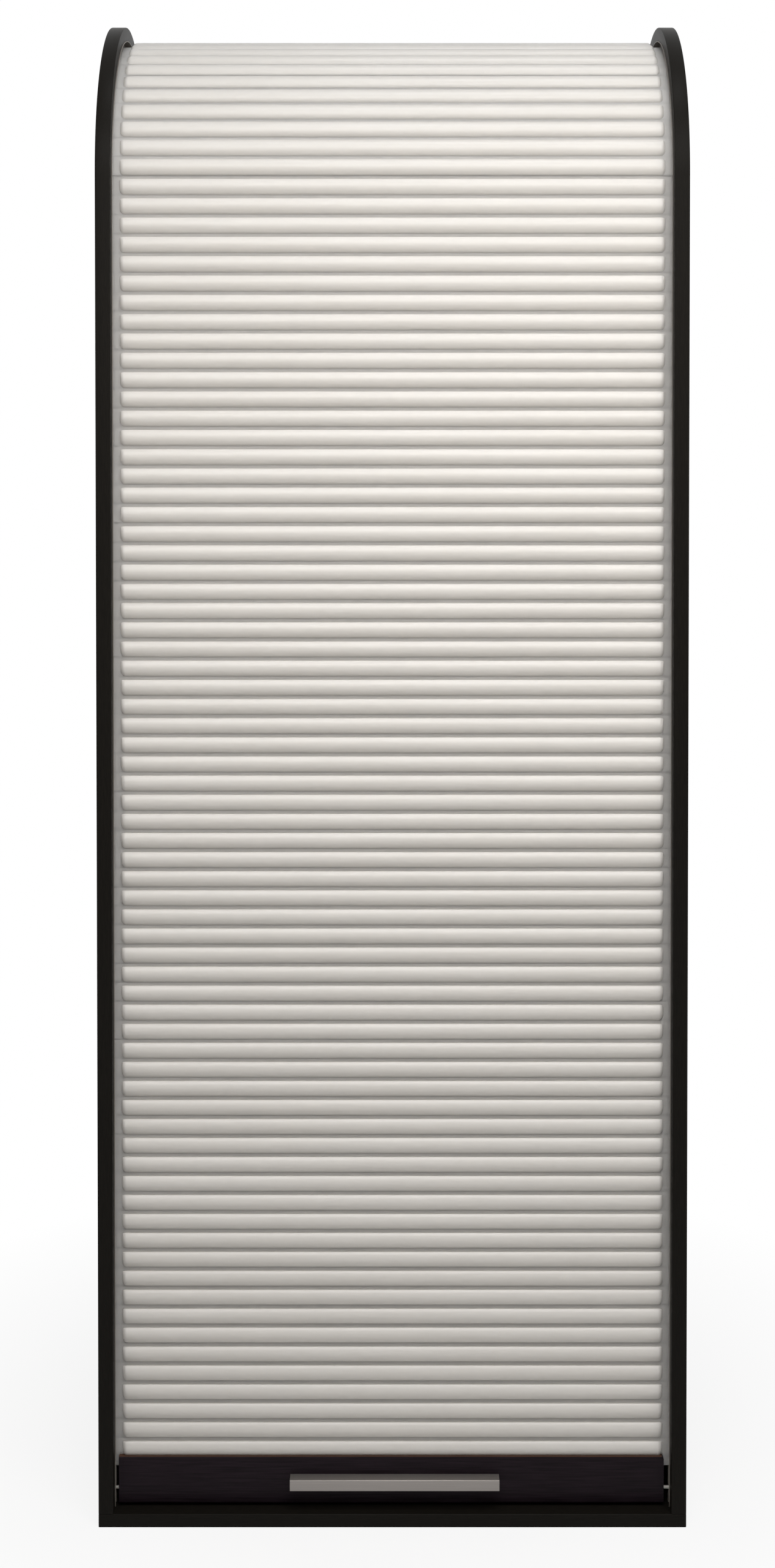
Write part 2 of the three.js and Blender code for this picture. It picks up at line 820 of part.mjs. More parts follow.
function flapScrews() {
  const tipY = kerfFrontY - flapScrewBite;
  const length = barBackY + fitGap - tipY;
  flapScrewPlaces().forEach((x, i) => {
    const geometry = screwGeometry(flapScrewRadius, flapScrewHeadRadius, flapScrewHeadHeight, length);
    const screw = addPiece(`flap_screw_${i + 1}`, geometry, zinc);
    screw.rotation.x = Math.PI / 2;
    screw.position.set(x, barBackY + fitGap + flapScrewHeadHeight, flapScrewZ);
  });
}

// Handle: its outline in the side view is a channel with its open side down
function handle() {
  const frontY = barFrontY - fitGap - handleDepth;
  const rearY = barFrontY - fitGap;
  const top = handleBottom + handleHeight;
  const shape = new THREE.Shape();
  shape.moveTo(frontY, handleBottom);
  shape.lineTo(frontY, top - handleCorner);
  shape.absarc(frontY + handleCorner, top - handleCorner, handleCorner, Math.PI, Math.PI / 2, true);
  shape.lineTo(rearY, top);
  shape.lineTo(rearY, handleBottom);
  shape.lineTo(rearY - handleWall, handleBottom);
  shape.lineTo(rearY - handleWall, top - handleWall);
  shape.lineTo(frontY + handleWall, top - handleWall);
  shape.lineTo(frontY + handleWall, handleBottom);
  shape.lineTo(frontY, handleBottom);
  const geometry = new THREE.ExtrudeGeometry(shape, {
    depth: handleLength,
    bevelEnabled: false,
    curveSegments: 3,
  });
  const sideView = new THREE.Matrix4().makeBasis(
    new THREE.Vector3(0, 1, 0),
    new THREE.Vector3(0, 0, 1),
    new THREE.Vector3(1, 0, 0),
  );
  geometry.applyMatrix4(sideView).translate(handleShift - handleLength / 2, 0, 0);
  const holeY = rearY - handleWall / 2;
  const holes = handleScrewPlaces.map((place) => solidOf(roundBar(
    'y',
    handleScrewRadius + fitGap,
    handleWall + 2 * cutOverrun,
    [place.x, holeY, handleScrewZ],
  )));
  addPiece('handle', geometryOf(cut(solidOf(geometry), holes)), aluminium);
}

function handleScrews() {
  const tipY = barFrontY - fitGap - handleWall - handleScrewTip;
  const length = barBackY + fitGap - tipY;
  for (const place of handleScrewPlaces) {
    const geometry = screwGeometry(handleScrewRadius, handleScrewHeadRadius, handleScrewHeadHeight, length);
    const screw = addPiece(`handle_screw_${place.label}`, geometry, zinc);
    screw.rotation.x = Math.PI / 2;
    screw.position.set(place.x, barBackY + fitGap + handleScrewHeadHeight, handleScrewZ);
  }
}

for (const side of sides) {
  sidePanel(side);
  guideChannel(side);
}
basePlate();
baseScrews();
camBoard('fixed_shelf', shelfBottom(fixedShelfNumber));
camBoard('ceiling_board', ceilingBottom);
camFittings();
looseShelves.forEach(looseShelf);
shelfPins();
backBoard('inner_back', innerBackY, innerBackThickness);
backBoard('outer_back', outerBackY, outerBackThickness);
frontRun();
arcRun('curtain_front_arc', 0, frontArcSlats - 1);
arcRun('curtain_rear_arc', frontArcSlats, archSlats - 1);
tailRun();
leadBar();
guidePins();
flapScrews();
handle();
handleScrews();

export default cabinet;
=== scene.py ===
"""Tambour door cabinet: finished boards, plastic curtain and fittings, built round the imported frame."""
import json
import math
from contextlib import contextmanager

import bmesh
import bpy
from mathutils import Matrix, Vector


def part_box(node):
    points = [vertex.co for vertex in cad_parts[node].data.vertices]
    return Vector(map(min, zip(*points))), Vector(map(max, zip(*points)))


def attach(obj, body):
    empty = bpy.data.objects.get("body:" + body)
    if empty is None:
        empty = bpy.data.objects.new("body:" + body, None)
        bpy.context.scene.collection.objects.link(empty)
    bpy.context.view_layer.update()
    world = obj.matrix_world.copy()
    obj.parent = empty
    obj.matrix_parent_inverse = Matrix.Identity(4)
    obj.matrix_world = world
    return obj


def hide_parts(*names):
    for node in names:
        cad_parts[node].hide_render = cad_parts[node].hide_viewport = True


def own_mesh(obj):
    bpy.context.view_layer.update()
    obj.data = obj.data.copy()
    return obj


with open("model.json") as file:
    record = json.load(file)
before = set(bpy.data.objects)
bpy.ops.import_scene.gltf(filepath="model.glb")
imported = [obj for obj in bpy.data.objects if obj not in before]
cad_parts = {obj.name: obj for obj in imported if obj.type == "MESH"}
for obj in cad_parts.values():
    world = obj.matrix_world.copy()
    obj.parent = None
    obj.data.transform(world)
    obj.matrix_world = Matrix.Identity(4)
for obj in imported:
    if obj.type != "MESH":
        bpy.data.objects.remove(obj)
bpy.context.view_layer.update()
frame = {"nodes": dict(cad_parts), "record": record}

bl_info = {
    "name": "Tambour door cabinet",
    "version": (1, 0, 0),
    "blender": (4, 5, 0),
    "location": "View3D > Sidebar > Tambour",
    "description": "Models a tall cupboard with a half-round top and a roll-up slatted curtain",
    "category": "Object",
}

# Units: lengths are metres, and a length in millimetres is written as a number times MM
MM = 0.001
# Two places closer than this are the same place
TINY = 0.01 * MM
# How far a cutter runs past the face that it cuts through
OVERRUN = 2 * MM
# The clearance between two pieces that fit each other
FIT_GAP = 0.3 * MM

# The camera of the photograph, found from the slats and the outline: a frame of 1266 by 2560 pixels
PHOTO_HEIGHT_PIXELS = 2560
FOCAL_PIXELS = 3667
SENSOR_WIDTH_MM = 36
AXIS_ROW_PIXELS = 592.4
AXIS_SIDE_PIXELS = 8
CAMERA_DISTANCE = 2982 * MM
CAMERA_HEIGHT = 1631 * MM
CAMERA_TILT = 0.0221

# The side panels, the arch that the curtain follows and the lead bar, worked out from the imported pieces
PANEL_LOW, PANEL_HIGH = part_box("side_panel_left")
ARCH_RADIUS = (PANEL_HIGH.y - PANEL_LOW.y) / 2
SPRING_HEIGHT = PANEL_HIGH.z - ARCH_RADIUS
ARCH_CENTRE = Vector((0, 0, SPRING_HEIGHT))
SIDES = (("left", -1), ("right", 1))
INNER_X = abs(PANEL_HIGH.x)
OUTER_X = abs(PANEL_LOW.x)
PANEL_FOOT = PANEL_LOW.z
BAR_LOW, BAR_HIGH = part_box("lead_bar")
RUN_LOW, RUN_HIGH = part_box("curtain_front_run")

# How finely round things are drawn
ARCH_STEPS = 96
ROUND_STEPS = 24
SCREW_STEPS = 16
RIM_STEPS = 4
BULGE_STEPS = 72
END_STEPS = 4
EASE_STEPS = 3
HANDLE_EDGE_STEPS = 2
# Faces that meet at less than this, in degrees, are shaded as one surface
SMOOTH_DEGREES = 35
# The handle's edges are rounded where its faces turn by more than this, in degrees
CUT_EDGE_DEGREES = 60


def linear(code):
    """An sRGB hex colour as the linear numbers that a shader takes."""
    parts = [int(code[i:i + 2], 16) / 255 for i in (0, 2, 4)]
    return [part / 12.92 if part <= 0.04045 else ((part + 0.055) / 1.055) ** 2.4 for part in parts]


def length_property(name, description, default):
    return bpy.props.FloatProperty(
        name=name, description=description, default=default, min=0, unit="LENGTH", precision=5)


def colour_property(name, description, code):
    return bpy.props.FloatVectorProperty(
        name=name, description=description, default=linear(code), size=3, min=0, max=1, subtype="COLOR")


class CabinetSizes(bpy.types.PropertyGroup):
    """Sizes of the finish that a user may change. The boards' own sizes come from the frame."""
    board_easing: length_property("Board easing", "Radius of the edging on the boards", 1 * MM)
    bar_easing: length_property("Bar easing", "Radius on the long edges of the lead bar", 1.5 * MM)
    bar_corner: length_property("Bar corner", "Radius of the lead bar's right upper corner", 3.5 * MM)
    bar_cover: length_property("Bar cover", "How far the bar covers the lowest slat's flat band", 3.5 * MM)
    slat_pitch: length_property("Slat pitch", "Height of one slat with its hinge", 25.87 * MM)
    slat_rise: length_property("Slat rise", "How far a slat stands out of the sheet", 6.5 * MM)
    slat_radius: length_property("Slat radius", "Radius of a slat's round face", 13.6 * MM)
    slat_top: bpy.props.FloatProperty(
        name="Slat top", description="Height of a slat's shoulder over its middle, as a share of the pitch",
        default=0.33, min=0.1, max=0.45, subtype="FACTOR")
    hinge_gap: length_property("Hinge gap", "From a slat's round face to the hinge below it", 0.2 * MM)
    root_share: bpy.props.FloatProperty(
        name="Root share", description="Share of the sheet's thickness that the bulge's root goes in",
        default=0.3, min=0.1, max=0.9, subtype="FACTOR")
    slat_half: length_property("Half slat", "Half the length of a slat's bulge", 365 * MM)
    mat_half: length_property("Half sheet", "Half the width of the sheet with its tongues", RUN_HIGH.x)
    sheet_radius: length_property("Sheet radius", "From the arch's centre to the sheet's front", 192 * MM)
    slat_end: length_property("Slat end", "Length of the rounded end of a slat", 6 * MM)
    sheet_thickness: length_property("Sheet", "Thickness of the sheet that carries the slats", 3 * MM)
    hinge_depth: length_property("Hinge depth", "Depth of the notch behind each film hinge", 2 * MM)
    hinge_width: length_property("Hinge width", "Half the width of that notch", 0.9 * MM)
    groove_depth: length_property("Groove depth", "Depth of the groove for the channel", 10 * MM)
    channel_width: length_property("Channel width", "Outside width of the channel", 14 * MM)
    channel_wall: length_property("Channel wall", "Wall of the plastic channel", 1.2 * MM)
    handle_wall: length_property("Handle wall", "Wall of the aluminium handle", 2.4 * MM)
    handle_corner: length_property("Handle corner", "Radius on the handle's front upper edge", 1.2 * MM)


class CabinetColours(bpy.types.PropertyGroup):
    """Colours of the materials."""
    melamine: colour_property("Melamine", "Near-black board", "151310")
    bar_foil: colour_property("Bar foil", "Brown-black foil of the lead bar", "1C151A")
    # A painted reflection: the lighter brown of the lead bar's top face stands in for the slats reflected
    # there
    bar_top_reflection: colour_property("Fibreboard", "Sawn board in the lead bar's top", "4F382D")
    slats: colour_property("Slats", "Warm off-white plastic of the curtain", "EDE8E1")
    channel: colour_property("Channel", "Grey-beige plastic of the channels", "6C665F")
    hardboard: colour_property("Hardboard", "Painted face of the back boards", "24221F")
    aluminium: colour_property("Aluminium", "Natural anodised handle", "8E8985")
    zinc: colour_property("Zinc", "Bright zinc plating of the fittings", "C2C4C6")
    nylon: colour_property("Nylon", "Natural nylon of the guide pins", "D8D6D0")


# Modelling tools

def deselect_all():
    """An operator acts on all that is selected, so nothing is left selected."""
    bpy.ops.object.select_all(action="DESELECT")


def activate(piece):
    deselect_all()
    piece.select_set(True)
    bpy.context.view_layer.objects.active = piece


def settle(piece):
    """Bring the piece's place into its mesh, with its object unturned at the origin."""
    activate(piece)
    bpy.ops.object.transform_apply(location=True, rotation=True, scale=True)


@contextmanager
def editing(piece):
    """Edit mode on one piece, which ends with clean outward normals."""
    activate(piece)
    bpy.ops.object.mode_set(mode="EDIT")
    yield
    bpy.ops.mesh.select_all(action="SELECT")
    bpy.ops.mesh.normals_make_consistent(inside=False)
    bpy.ops.object.mode_set(mode="OBJECT")


def pick(piece, kind, test):
    """In edit mode, select only the faces or edges that pass the test."""
    bpy.ops.mesh.select_mode(type=kind)
    bpy.ops.mesh.select_all(action="DESELECT")
    mesh = bmesh.from_edit_mesh(piece.data)
    mesh.normal_update()
    for part in (mesh.faces if kind == "FACE" else mesh.edges):
        part.select_set(bool(test(part)))
    bmesh.update_edit_mesh(piece.data)


# The least cosine at which a direction counts as the same, and the least angle of a sharp edge, in radians
SAME_WAY = 0.99
SHARP_ANGLE = 1


def is_sharp(edge):
    return edge.calc_face_angle(0) > SHARP_ANGLE


def facing(face, direction):
    return face.normal.dot(Vector(direction)) > SAME_WAY


def middle(edge):
    return (edge.verts[0].co + edge.verts[1].co) / 2


def along(edge, direction):
    way = (edge.verts[1].co - edge.verts[0].co).normalized()
    return abs(way.dot(Vector(direction))) > SAME_WAY


def extrude(step):
    bpy.ops.mesh.extrude_region_move(TRANSFORM_OT_translate={"value": tuple(step)})


def resize(shares, centre):
    bpy.ops.transform.resize(value=tuple(shares), center_override=tuple(centre))


def block(name, low, high):
    """A cube at its size and place, between two corners."""
    low = Vector(low)
    high = Vector(high)
    deselect_all()
    bpy.ops.mesh.primitive_cube_add(size=1, location=(low + high) / 2, scale=high - low)
    piece = bpy.context.object
    piece.name = name
    settle(piece)
    return piece


def turned(name, stations, steps=ROUND_STEPS):
    """A round piece along +Z, from a disc that is extruded and resized at each (radius, height)."""
    radius, height = stations[0]
    deselect_all()
    bpy.ops.mesh.primitive_circle_add(
        vertices=steps, radius=radius, fill_type="NGON", location=(0, 0, height))
    piece = bpy.context.object
    piece.name = name
    settle(piece)
    with editing(piece):
        bpy.ops.mesh.select_all(action="SELECT")
        for next_radius, next_height in stations[1:]:
            extrude((0, 0, next_height - height))
            resize([next_radius / radius] * 2 + [1], (0, 0, next_height))
            radius, height = next_radius, next_height
    return piece


def place(piece, matrix):
    """Turn and move a piece, in its mesh."""
    piece.data.transform(matrix)
    return piece


def copy_of(piece, name, matrix=Matrix.Identity(4)):
    """A copy with a mesh of its own."""
    twin = bpy.data.objects.new(name, piece.data.copy())
    bpy.context.scene.collection.objects.link(twin)
    return place(twin, matrix)


def modify(piece, kind, **settings):
    """Add a modifier with its settings and apply it."""
    activate(piece)
    modifier = piece.modifiers.new(kind.title(), kind)
    for name, value in settings.items():
        setattr(modifier, name, value)
    bpy.ops.object.modifier_apply(modifier=modifier.name)


def remove(piece):
    bpy.data.objects.remove(piece)


def combine(piece, other, how):
    """Cut the other piece out of this one, or join it on, and remove it."""
    modify(piece, "BOOLEAN", operation=how, solver="EXACT", object=other)
    remove(other)


def join(pieces, name):
    """One object from several."""
    deselect_all()
    for piece in pieces:
        piece.select_set(True)
    bpy.context.view_layer.objects.active = pieces[0]
    bpy.ops.object.join()
    pieces[0].name = name
    return pieces[0]


def carve(piece, cutters):
    """Cut away each cutter in turn, as some of them cross."""
    for cutter in cutters:
        combine(piece, cutter, "DIFFERENCE")


def carve_at_once(piece, cutters):
    """Cut away many cutters that stand clear of each other."""
    combine(piece, join(cutters, "cutters"), "DIFFERENCE")


def smooth(piece):
    activate(piece)
    bpy.ops.object.shade_smooth_by_angle(angle=math.radians(SMOOTH_DEGREES))


def about(centre, axis, angle):
    """A turn by an angle about an axis through a point."""
    centre = Vector(centre)
    return Matrix.Translation(centre) @ Matrix.Rotation(angle, 4, axis) @ Matrix.Translation(-centre)


def lying(axis_sign, at):
    """The place of a turned piece whose +Z is laid along X, towards that sign, from a point."""
    return Matrix.Translation(Vector(at)) @ Matrix.Rotation(axis_sign * math.pi / 2, 4, "Y")


def drill(radius, low, high, axis="Z"):
    """A round cutter between two points that lie along one axis."""
    low = Vector(low)
    high = Vector(high)
    cutter = turned("cutter", [(radius, 0), (radius, (high - low).length)])
    turn = {"X": Matrix.Rotation(math.pi / 2, 4, "Y"), "Y": Matrix.Rotation(-math.pi / 2, 4, "X")}
    return place(cutter, Matrix.Translation(low) @ turn.get(axis, Matrix.Identity(4)))


def rounded(radius, height, ease):
    """The stations of a turned piece that round its upper rim."""
    turns = [math.pi / 2 * (i + 1) / RIM_STEPS for i in range(RIM_STEPS)]
    return [(radius - ease * (1 - math.cos(t)), height - ease * (1 - math.sin(t))) for t in turns]


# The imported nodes

def nodes_named(start):
    return sorted(node for node in frame["nodes"] if node.startswith(start))


def centre_of(node):
    low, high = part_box(node)
    return (low + high) / 2


def foot_of(node):
    """The point on the floor under the middle of a node."""
    centre = centre_of(node)
    return Vector((centre.x, centre.y, 0))


def end_of(node, sign):
    """The middle of a node's face towards that sign of X."""
    low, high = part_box(node)
    centre = centre_of(node)
    return Vector((high.x if sign > 0 else low.x, centre.y, centre.z))


def body_of(node):
    return next(body for body, nodes in frame["record"]["behaviour"]["bodies"].items() if node in nodes)


def hand_over(piece, node, material):
    """The finished piece takes the place of a CAD node, on its body and with its slot."""
    if not piece.data.polygons:
        raise RuntimeError(f"{piece.name} has no faces")
    piece.data.materials.clear()
    piece.data.materials.append(material)
    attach(piece, body_of(node))
    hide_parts(node)


# Materials

# The melamine's pressed pore, drawn a little coarse so that it shows
PORE_WIDTH_MM = 0.9
PORE_LENGTH_MM = 14
# The painted reflection of the slats covers the lead bar's top face and runs this far down from it
PAINTED_REFLECTION_DROP = 0.3 * MM
# Most of a noise's values lie between these
NOISE_SPREAD = (0.35, 0.65)
# The colour sockets of a mix node, by number
MIX_FIRST = 6
MIX_SECOND = 7
MIX_RESULT = 2


def add_node(tree, kind, settings=None, links=None):
    """One node with its settings, which are sockets or options, and the links into it."""
    node = tree.nodes.new(kind)
    for name, value in (settings or {}).items():
        if isinstance(name, int) or name in node.inputs:
            node.inputs[name].default_value = value
        else:
            setattr(node, name, value)
    for name, source in (links or {}).items():
        tree.links.new(source, node.inputs[name])
    return node


def new_material(name, settings):
    """A material with one shader, whose sockets are set and may be linked later."""
    material = bpy.data.materials.new(name)
    material.use_nodes = True
    tree = material.node_tree
    tree.nodes.clear()
    shader = add_node(tree, "ShaderNodeBsdfPrincipled", settings)
    add_node(tree, "ShaderNodeOutputMaterial", None, {"Surface": shader.outputs["BSDF"]})
    return material, tree, shader


def drawn_noise(tree, sizes_mm, detail=3):
    """Noise whose cells measure the given millimetres along X, Y and Z."""
    where = add_node(tree, "ShaderNodeTexCoord")
    scale = [1 / (size * MM) for size in sizes_mm]
    mapping = add_node(tree, "ShaderNodeMapping", {"Scale": scale}, {"Vector": where.outputs["Object"]})
    noise = add_node(
        tree, "ShaderNodeTexNoise", {"Scale": 1, "Detail": detail}, {"Vector": mapping.outputs["Vector"]})
    return noise.outputs["Fac"]


def shade_between(tree, factor, low_colour, high_colour):
    """A colour that runs from one to another over the middle part of the noise's range."""
    ramp = add_node(tree, "ShaderNodeValToRGB", None, {"Fac": factor})
    for element, at, colour in zip(ramp.color_ramp.elements, NOISE_SPREAD, (low_colour, high_colour)):
        element.position = at
        element.color = (*colour, 1)
    return ramp.outputs["Color"]


def scaled(colour, share):
    return [min(1, part * share) for part in colour]


def vary_roughness(tree, shader, factor, low, high):
    spread = add_node(
        tree, "ShaderNodeMapRange", {"To Min": low, "To Max": high}, {"Value": factor})
    tree.links.new(spread.outputs["Result"], shader.inputs["Roughness"])


def raise_bump(tree, shader, height, depth_mm):
    bump = add_node(tree, "ShaderNodeBump", {"Strength": 1, "Distance": depth_mm * MM}, {"Height": height})
    tree.links.new(bump.outputs["Normal"], shader.inputs["Normal"])


def melamine(name, pore_sizes_mm, colours):
    """Melamine-faced chipboard, pressed with a fine pore: near-black and half matt."""
    material, tree, shader = new_material(name, {"Roughness": 0.42, "Specular IOR Level": 0.06})
    pores = drawn_noise(tree, pore_sizes_mm)
    colour = shade_between(tree, pores, scaled(colours.melamine, 0.82), scaled(colours.melamine, 1.2))
    tree.links.new(colour, shader.inputs["Base Color"])
    vary_roughness(tree, shader, pores, 0.36, 0.5)
    raise_bump(tree, shader, pores, 0.05)
    return material


def melamine_board(colours):
    """Melamine on the boards that stand, with its pore upright."""
    return melamine("pressed_melamine_near_black", (PORE_WIDTH_MM, PORE_WIDTH_MM, PORE_LENGTH_MM), colours)


def melamine_shelf(colours):
    """The same melamine on the boards that lie flat, with its pore running across the cabinet."""
    return melamine(
        "pressed_melamine_near_black_lying", (PORE_LENGTH_MM, PORE_WIDTH_MM, PORE_WIDTH_MM), colours)


def bar_foil(colours):
    """Foil-wrapped wood-fibre board in a brown-black wood print, with its figure along the bar. The top face
    takes a lighter brown, a painted reflection of the slats above it."""
    material, tree, shader = new_material(
        "foil_wrapped_bar_brown_black", {"Roughness": 0.38, "Specular IOR Level": 0.07})
    figure = drawn_noise(tree, (60, 2.5, 2.5), 5)
    foil = shade_between(tree, figure, scaled(colours.bar_foil, 0.7), scaled(colours.bar_foil, 1.4))
    # Painted reflection: a lighter brown on the top face that stands in for the slats reflected in it
    painted_reflection = shade_between(tree, figure, scaled(colours.bar_top_reflection, 0.8), colours.bar_top_reflection)
    where = add_node(tree, "ShaderNodeTexCoord")
    height = add_node(tree, "ShaderNodeSeparateXYZ", None, {"Vector": where.outputs["Object"]})
    top = add_node(
        tree, "ShaderNodeMath", {"operation": "GREATER_THAN", 1: BAR_HIGH.z - PAINTED_REFLECTION_DROP},
        {0: height.outputs["Z"]})
    colour = add_node(
        tree, "ShaderNodeMix", {"data_type": "RGBA"},
        {0: top.outputs["Value"], MIX_FIRST: foil, MIX_SECOND: painted_reflection})
    tree.links.new(colour.outputs[MIX_RESULT], shader.inputs["Base Color"])
    vary_roughness(tree, shader, figure, 0.33, 0.45)
    raise_bump(tree, shader, figure, 0.03)
    return material


def slat_plastic(colours):
    """Extruded polypropylene: satin off-white and translucent, with faint drawing lines along each slat.
    Light that falls on a slat from above comes out again lower down, and some is lost behind the sheet."""
    material, tree, shader = new_material(
        "extruded_polypropylene_off_white",
        {"Roughness": 0.38, "IOR": 1.49, "Subsurface Weight": 1.0, "Subsurface Radius": (1, 1, 1),
         "Subsurface Scale": 22 * MM})
    tint = drawn_noise(tree, (300, 26, 26), 2)
    colour = shade_between(tree, tint, scaled(colours.slats, 0.965), colours.slats)
    tree.links.new(colour, shader.inputs["Base Color"])
    lines = drawn_noise(tree, (180, 0.8, 0.8), 2)
    vary_roughness(tree, shader, lines, 0.34, 0.44)
    raise_bump(tree, shader, lines, 0.02)
    return material


def channel_plastic(colours):
    """Extruded hard PVC channel: grey-beige and dull, with lines along its length."""
    material, tree, shader = new_material("extruded_pvc_channel", {"Roughness": 0.5, "IOR": 1.53})
    lines = drawn_noise(tree, (0.7, 6, 40), 2)
    colour = shade_between(tree, lines, scaled(colours.channel, 0.93), colours.channel)
    tree.links.new(colour, shader.inputs["Base Color"])
    raise_bump(tree, shader, lines, 0.02)
    return material


def hardboard_face(colours):
    """Painted hardboard: dark and matt, with the fine orange peel of a rolled paint."""
    material, tree, shader = new_material("rolled_paint_on_hardboard", {"Roughness": 0.62})
    peel = drawn_noise(tree, (2.2, 2.2, 2.2), 3)
    colour = shade_between(tree, peel, scaled(colours.hardboard, 0.88), scaled(colours.hardboard, 1.12))
    tree.links.new(colour, shader.inputs["Base Color"])
    raise_bump(tree, shader, peel, 0.08)
    return material


def anodised_aluminium(colours):
    """Extruded aluminium, brushed along its length and clear anodised: a soft grey sheen, with a share of
    plain scatter from the oxide layer."""
    material, tree, shader = new_material(
        "anodised_aluminium_brushed", {"Metallic": 0.75, "Roughness": 0.48})
    lines = drawn_noise(tree, (60, 0.35, 0.35), 3)
    colour = shade_between(tree, lines, scaled(colours.aluminium, 0.9), colours.aluminium)
    tree.links.new(colour, shader.inputs["Base Color"])
    vary_roughness(tree, shader, lines, 0.42, 0.54)
    raise_bump(tree, shader, lines, 0.02)
    return material


def zinc_plate(colours):
    """Bright zinc plating on steel and die-cast cams: a lightly mottled metal."""
    material, tree, shader = new_material("zinc_plated_steel", {"Metallic": 1.0, "Roughness": 0.35})
    mottle = drawn_noise(tree, (1.5, 1.5, 1.5), 2)
    colour = shade_between(tree, mottle, scaled(colours.zinc, 0.86), colours.zinc)
    tree.links.new(colour, shader.inputs["Base Color"])
    vary_roughness(tree, shader, mottle, 0.28, 0.44)
    return material


def turned_nylon(colours):
    """Natural nylon, turned: milky white with fine rings."""
    material, tree, shader = new_material(
        "turned_nylon_natural",
        {"Roughness": 0.4, "IOR": 1.53, "Subsurface Weight": 0.1, "Subsurface Scale": 1 * MM})
    rings = drawn_noise(tree, (0.4, 8, 8), 1)
    colour = shade_between(tree, rings, scaled(colours.nylon, 0.94), colours.nylon)
    tree.links.new(colour, shader.inputs["Base Color"])
    raise_bump(tree, shader, rings, 0.03)
    return material


MAKERS = {
    "melamine_board": melamine_board,
    "melamine_shelf": melamine_shelf,
    "bar_foil": bar_foil,
    "slat_plastic": slat_plastic,
    "channel_plastic": channel_plastic,
    "hardboard_face": hardboard_face,
    "anodised_aluminium": anodised_aluminium,
    "zinc_plate": zinc_plate,
    "turned_nylon": turned_nylon,
}
finishes = {}


def finish(name):
    """Each material is made once, when a piece first asks for it."""
    if name not in finishes:
        finishes[name] = MAKERS[name](bpy.context.scene.cabinet_colours)
    return finishes[name]


# Boards

def ease_edges(piece, radius, test):
    """Round the chosen edges, as edging or a router leaves them."""
    with editing(piece):
        pick(piece, "EDGE", test)
        bpy.ops.mesh.bevel(offset=radius, segments=EASE_STEPS, affect="EDGES")


def flat_board(name, node, easing):
    """A board that lies or stands square, with its long edges eased."""
    low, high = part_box(node)
    board = block(name, low, high)
    ease_edges(board, easing, lambda edge: along(edge, (1, 0, 0)))
    return board


def horseshoe(name, low, high, foot):
    """A strip that rises at the front, follows the arch and comes down at the back.
    low and high are the corners, in X and Y, of its section in the front run."""
    low = Vector((*low, foot))
    high = Vector((*high, foot + MM))
    strip = block(name, low, high)
    with editing(strip):
        pick(strip, "FACE", lambda face: facing(face, (0, 0, 1)))
        bpy.ops.transform.translate(value=(0, 0, SPRING_HEIGHT - high.z))
        bpy.ops.mesh.spin(
            steps=ARCH_STEPS, angle=math.pi, center=tuple(ARCH_CENTRE), axis=(1, 0, 0))
        extrude((0, 0, foot - SPRING_HEIGHT))
    return strip


def arch_board(name, inner_x, outer_x, foot):
    """A half disc, drawn down from its straight edge to the foot and then thickened."""
    deselect_all()
    bpy.ops.mesh.primitive_circle_add(
        vertices=2 * ARCH_STEPS, radius=ARCH_RADIUS, fill_type="NGON",
        location=(inner_x, 0, SPRING_HEIGHT), rotation=(0, math.pi / 2, 0))
    board = bpy.context.object
    board.name = name
    settle(board)
    with editing(board):
        bpy.ops.mesh.select_all(action="SELECT")
        bpy.ops.mesh.bisect(
            plane_co=tuple(ARCH_CENTRE), plane_no=(0, 0, 1), clear_inner=True)
        pick(board, "EDGE", lambda edge: abs(middle(edge).z - SPRING_HEIGHT) < TINY)
        extrude((0, 0, foot - SPRING_HEIGHT))
        bpy.ops.mesh.select_all(action="SELECT")
        extrude((outer_x - inner_x, 0, 0))
    return board


def span(a, b):
    return min(a, b), max(a, b)


def strip_section(sign, inner_x, outer_x, front_y, rear_y):
    """The corners, in X and Y, of a horseshoe's section on one side of the cabinet."""
    low_x, high_x = span(sign * inner_x, sign * outer_x)
    return (low_x, front_y), (high_x, rear_y)


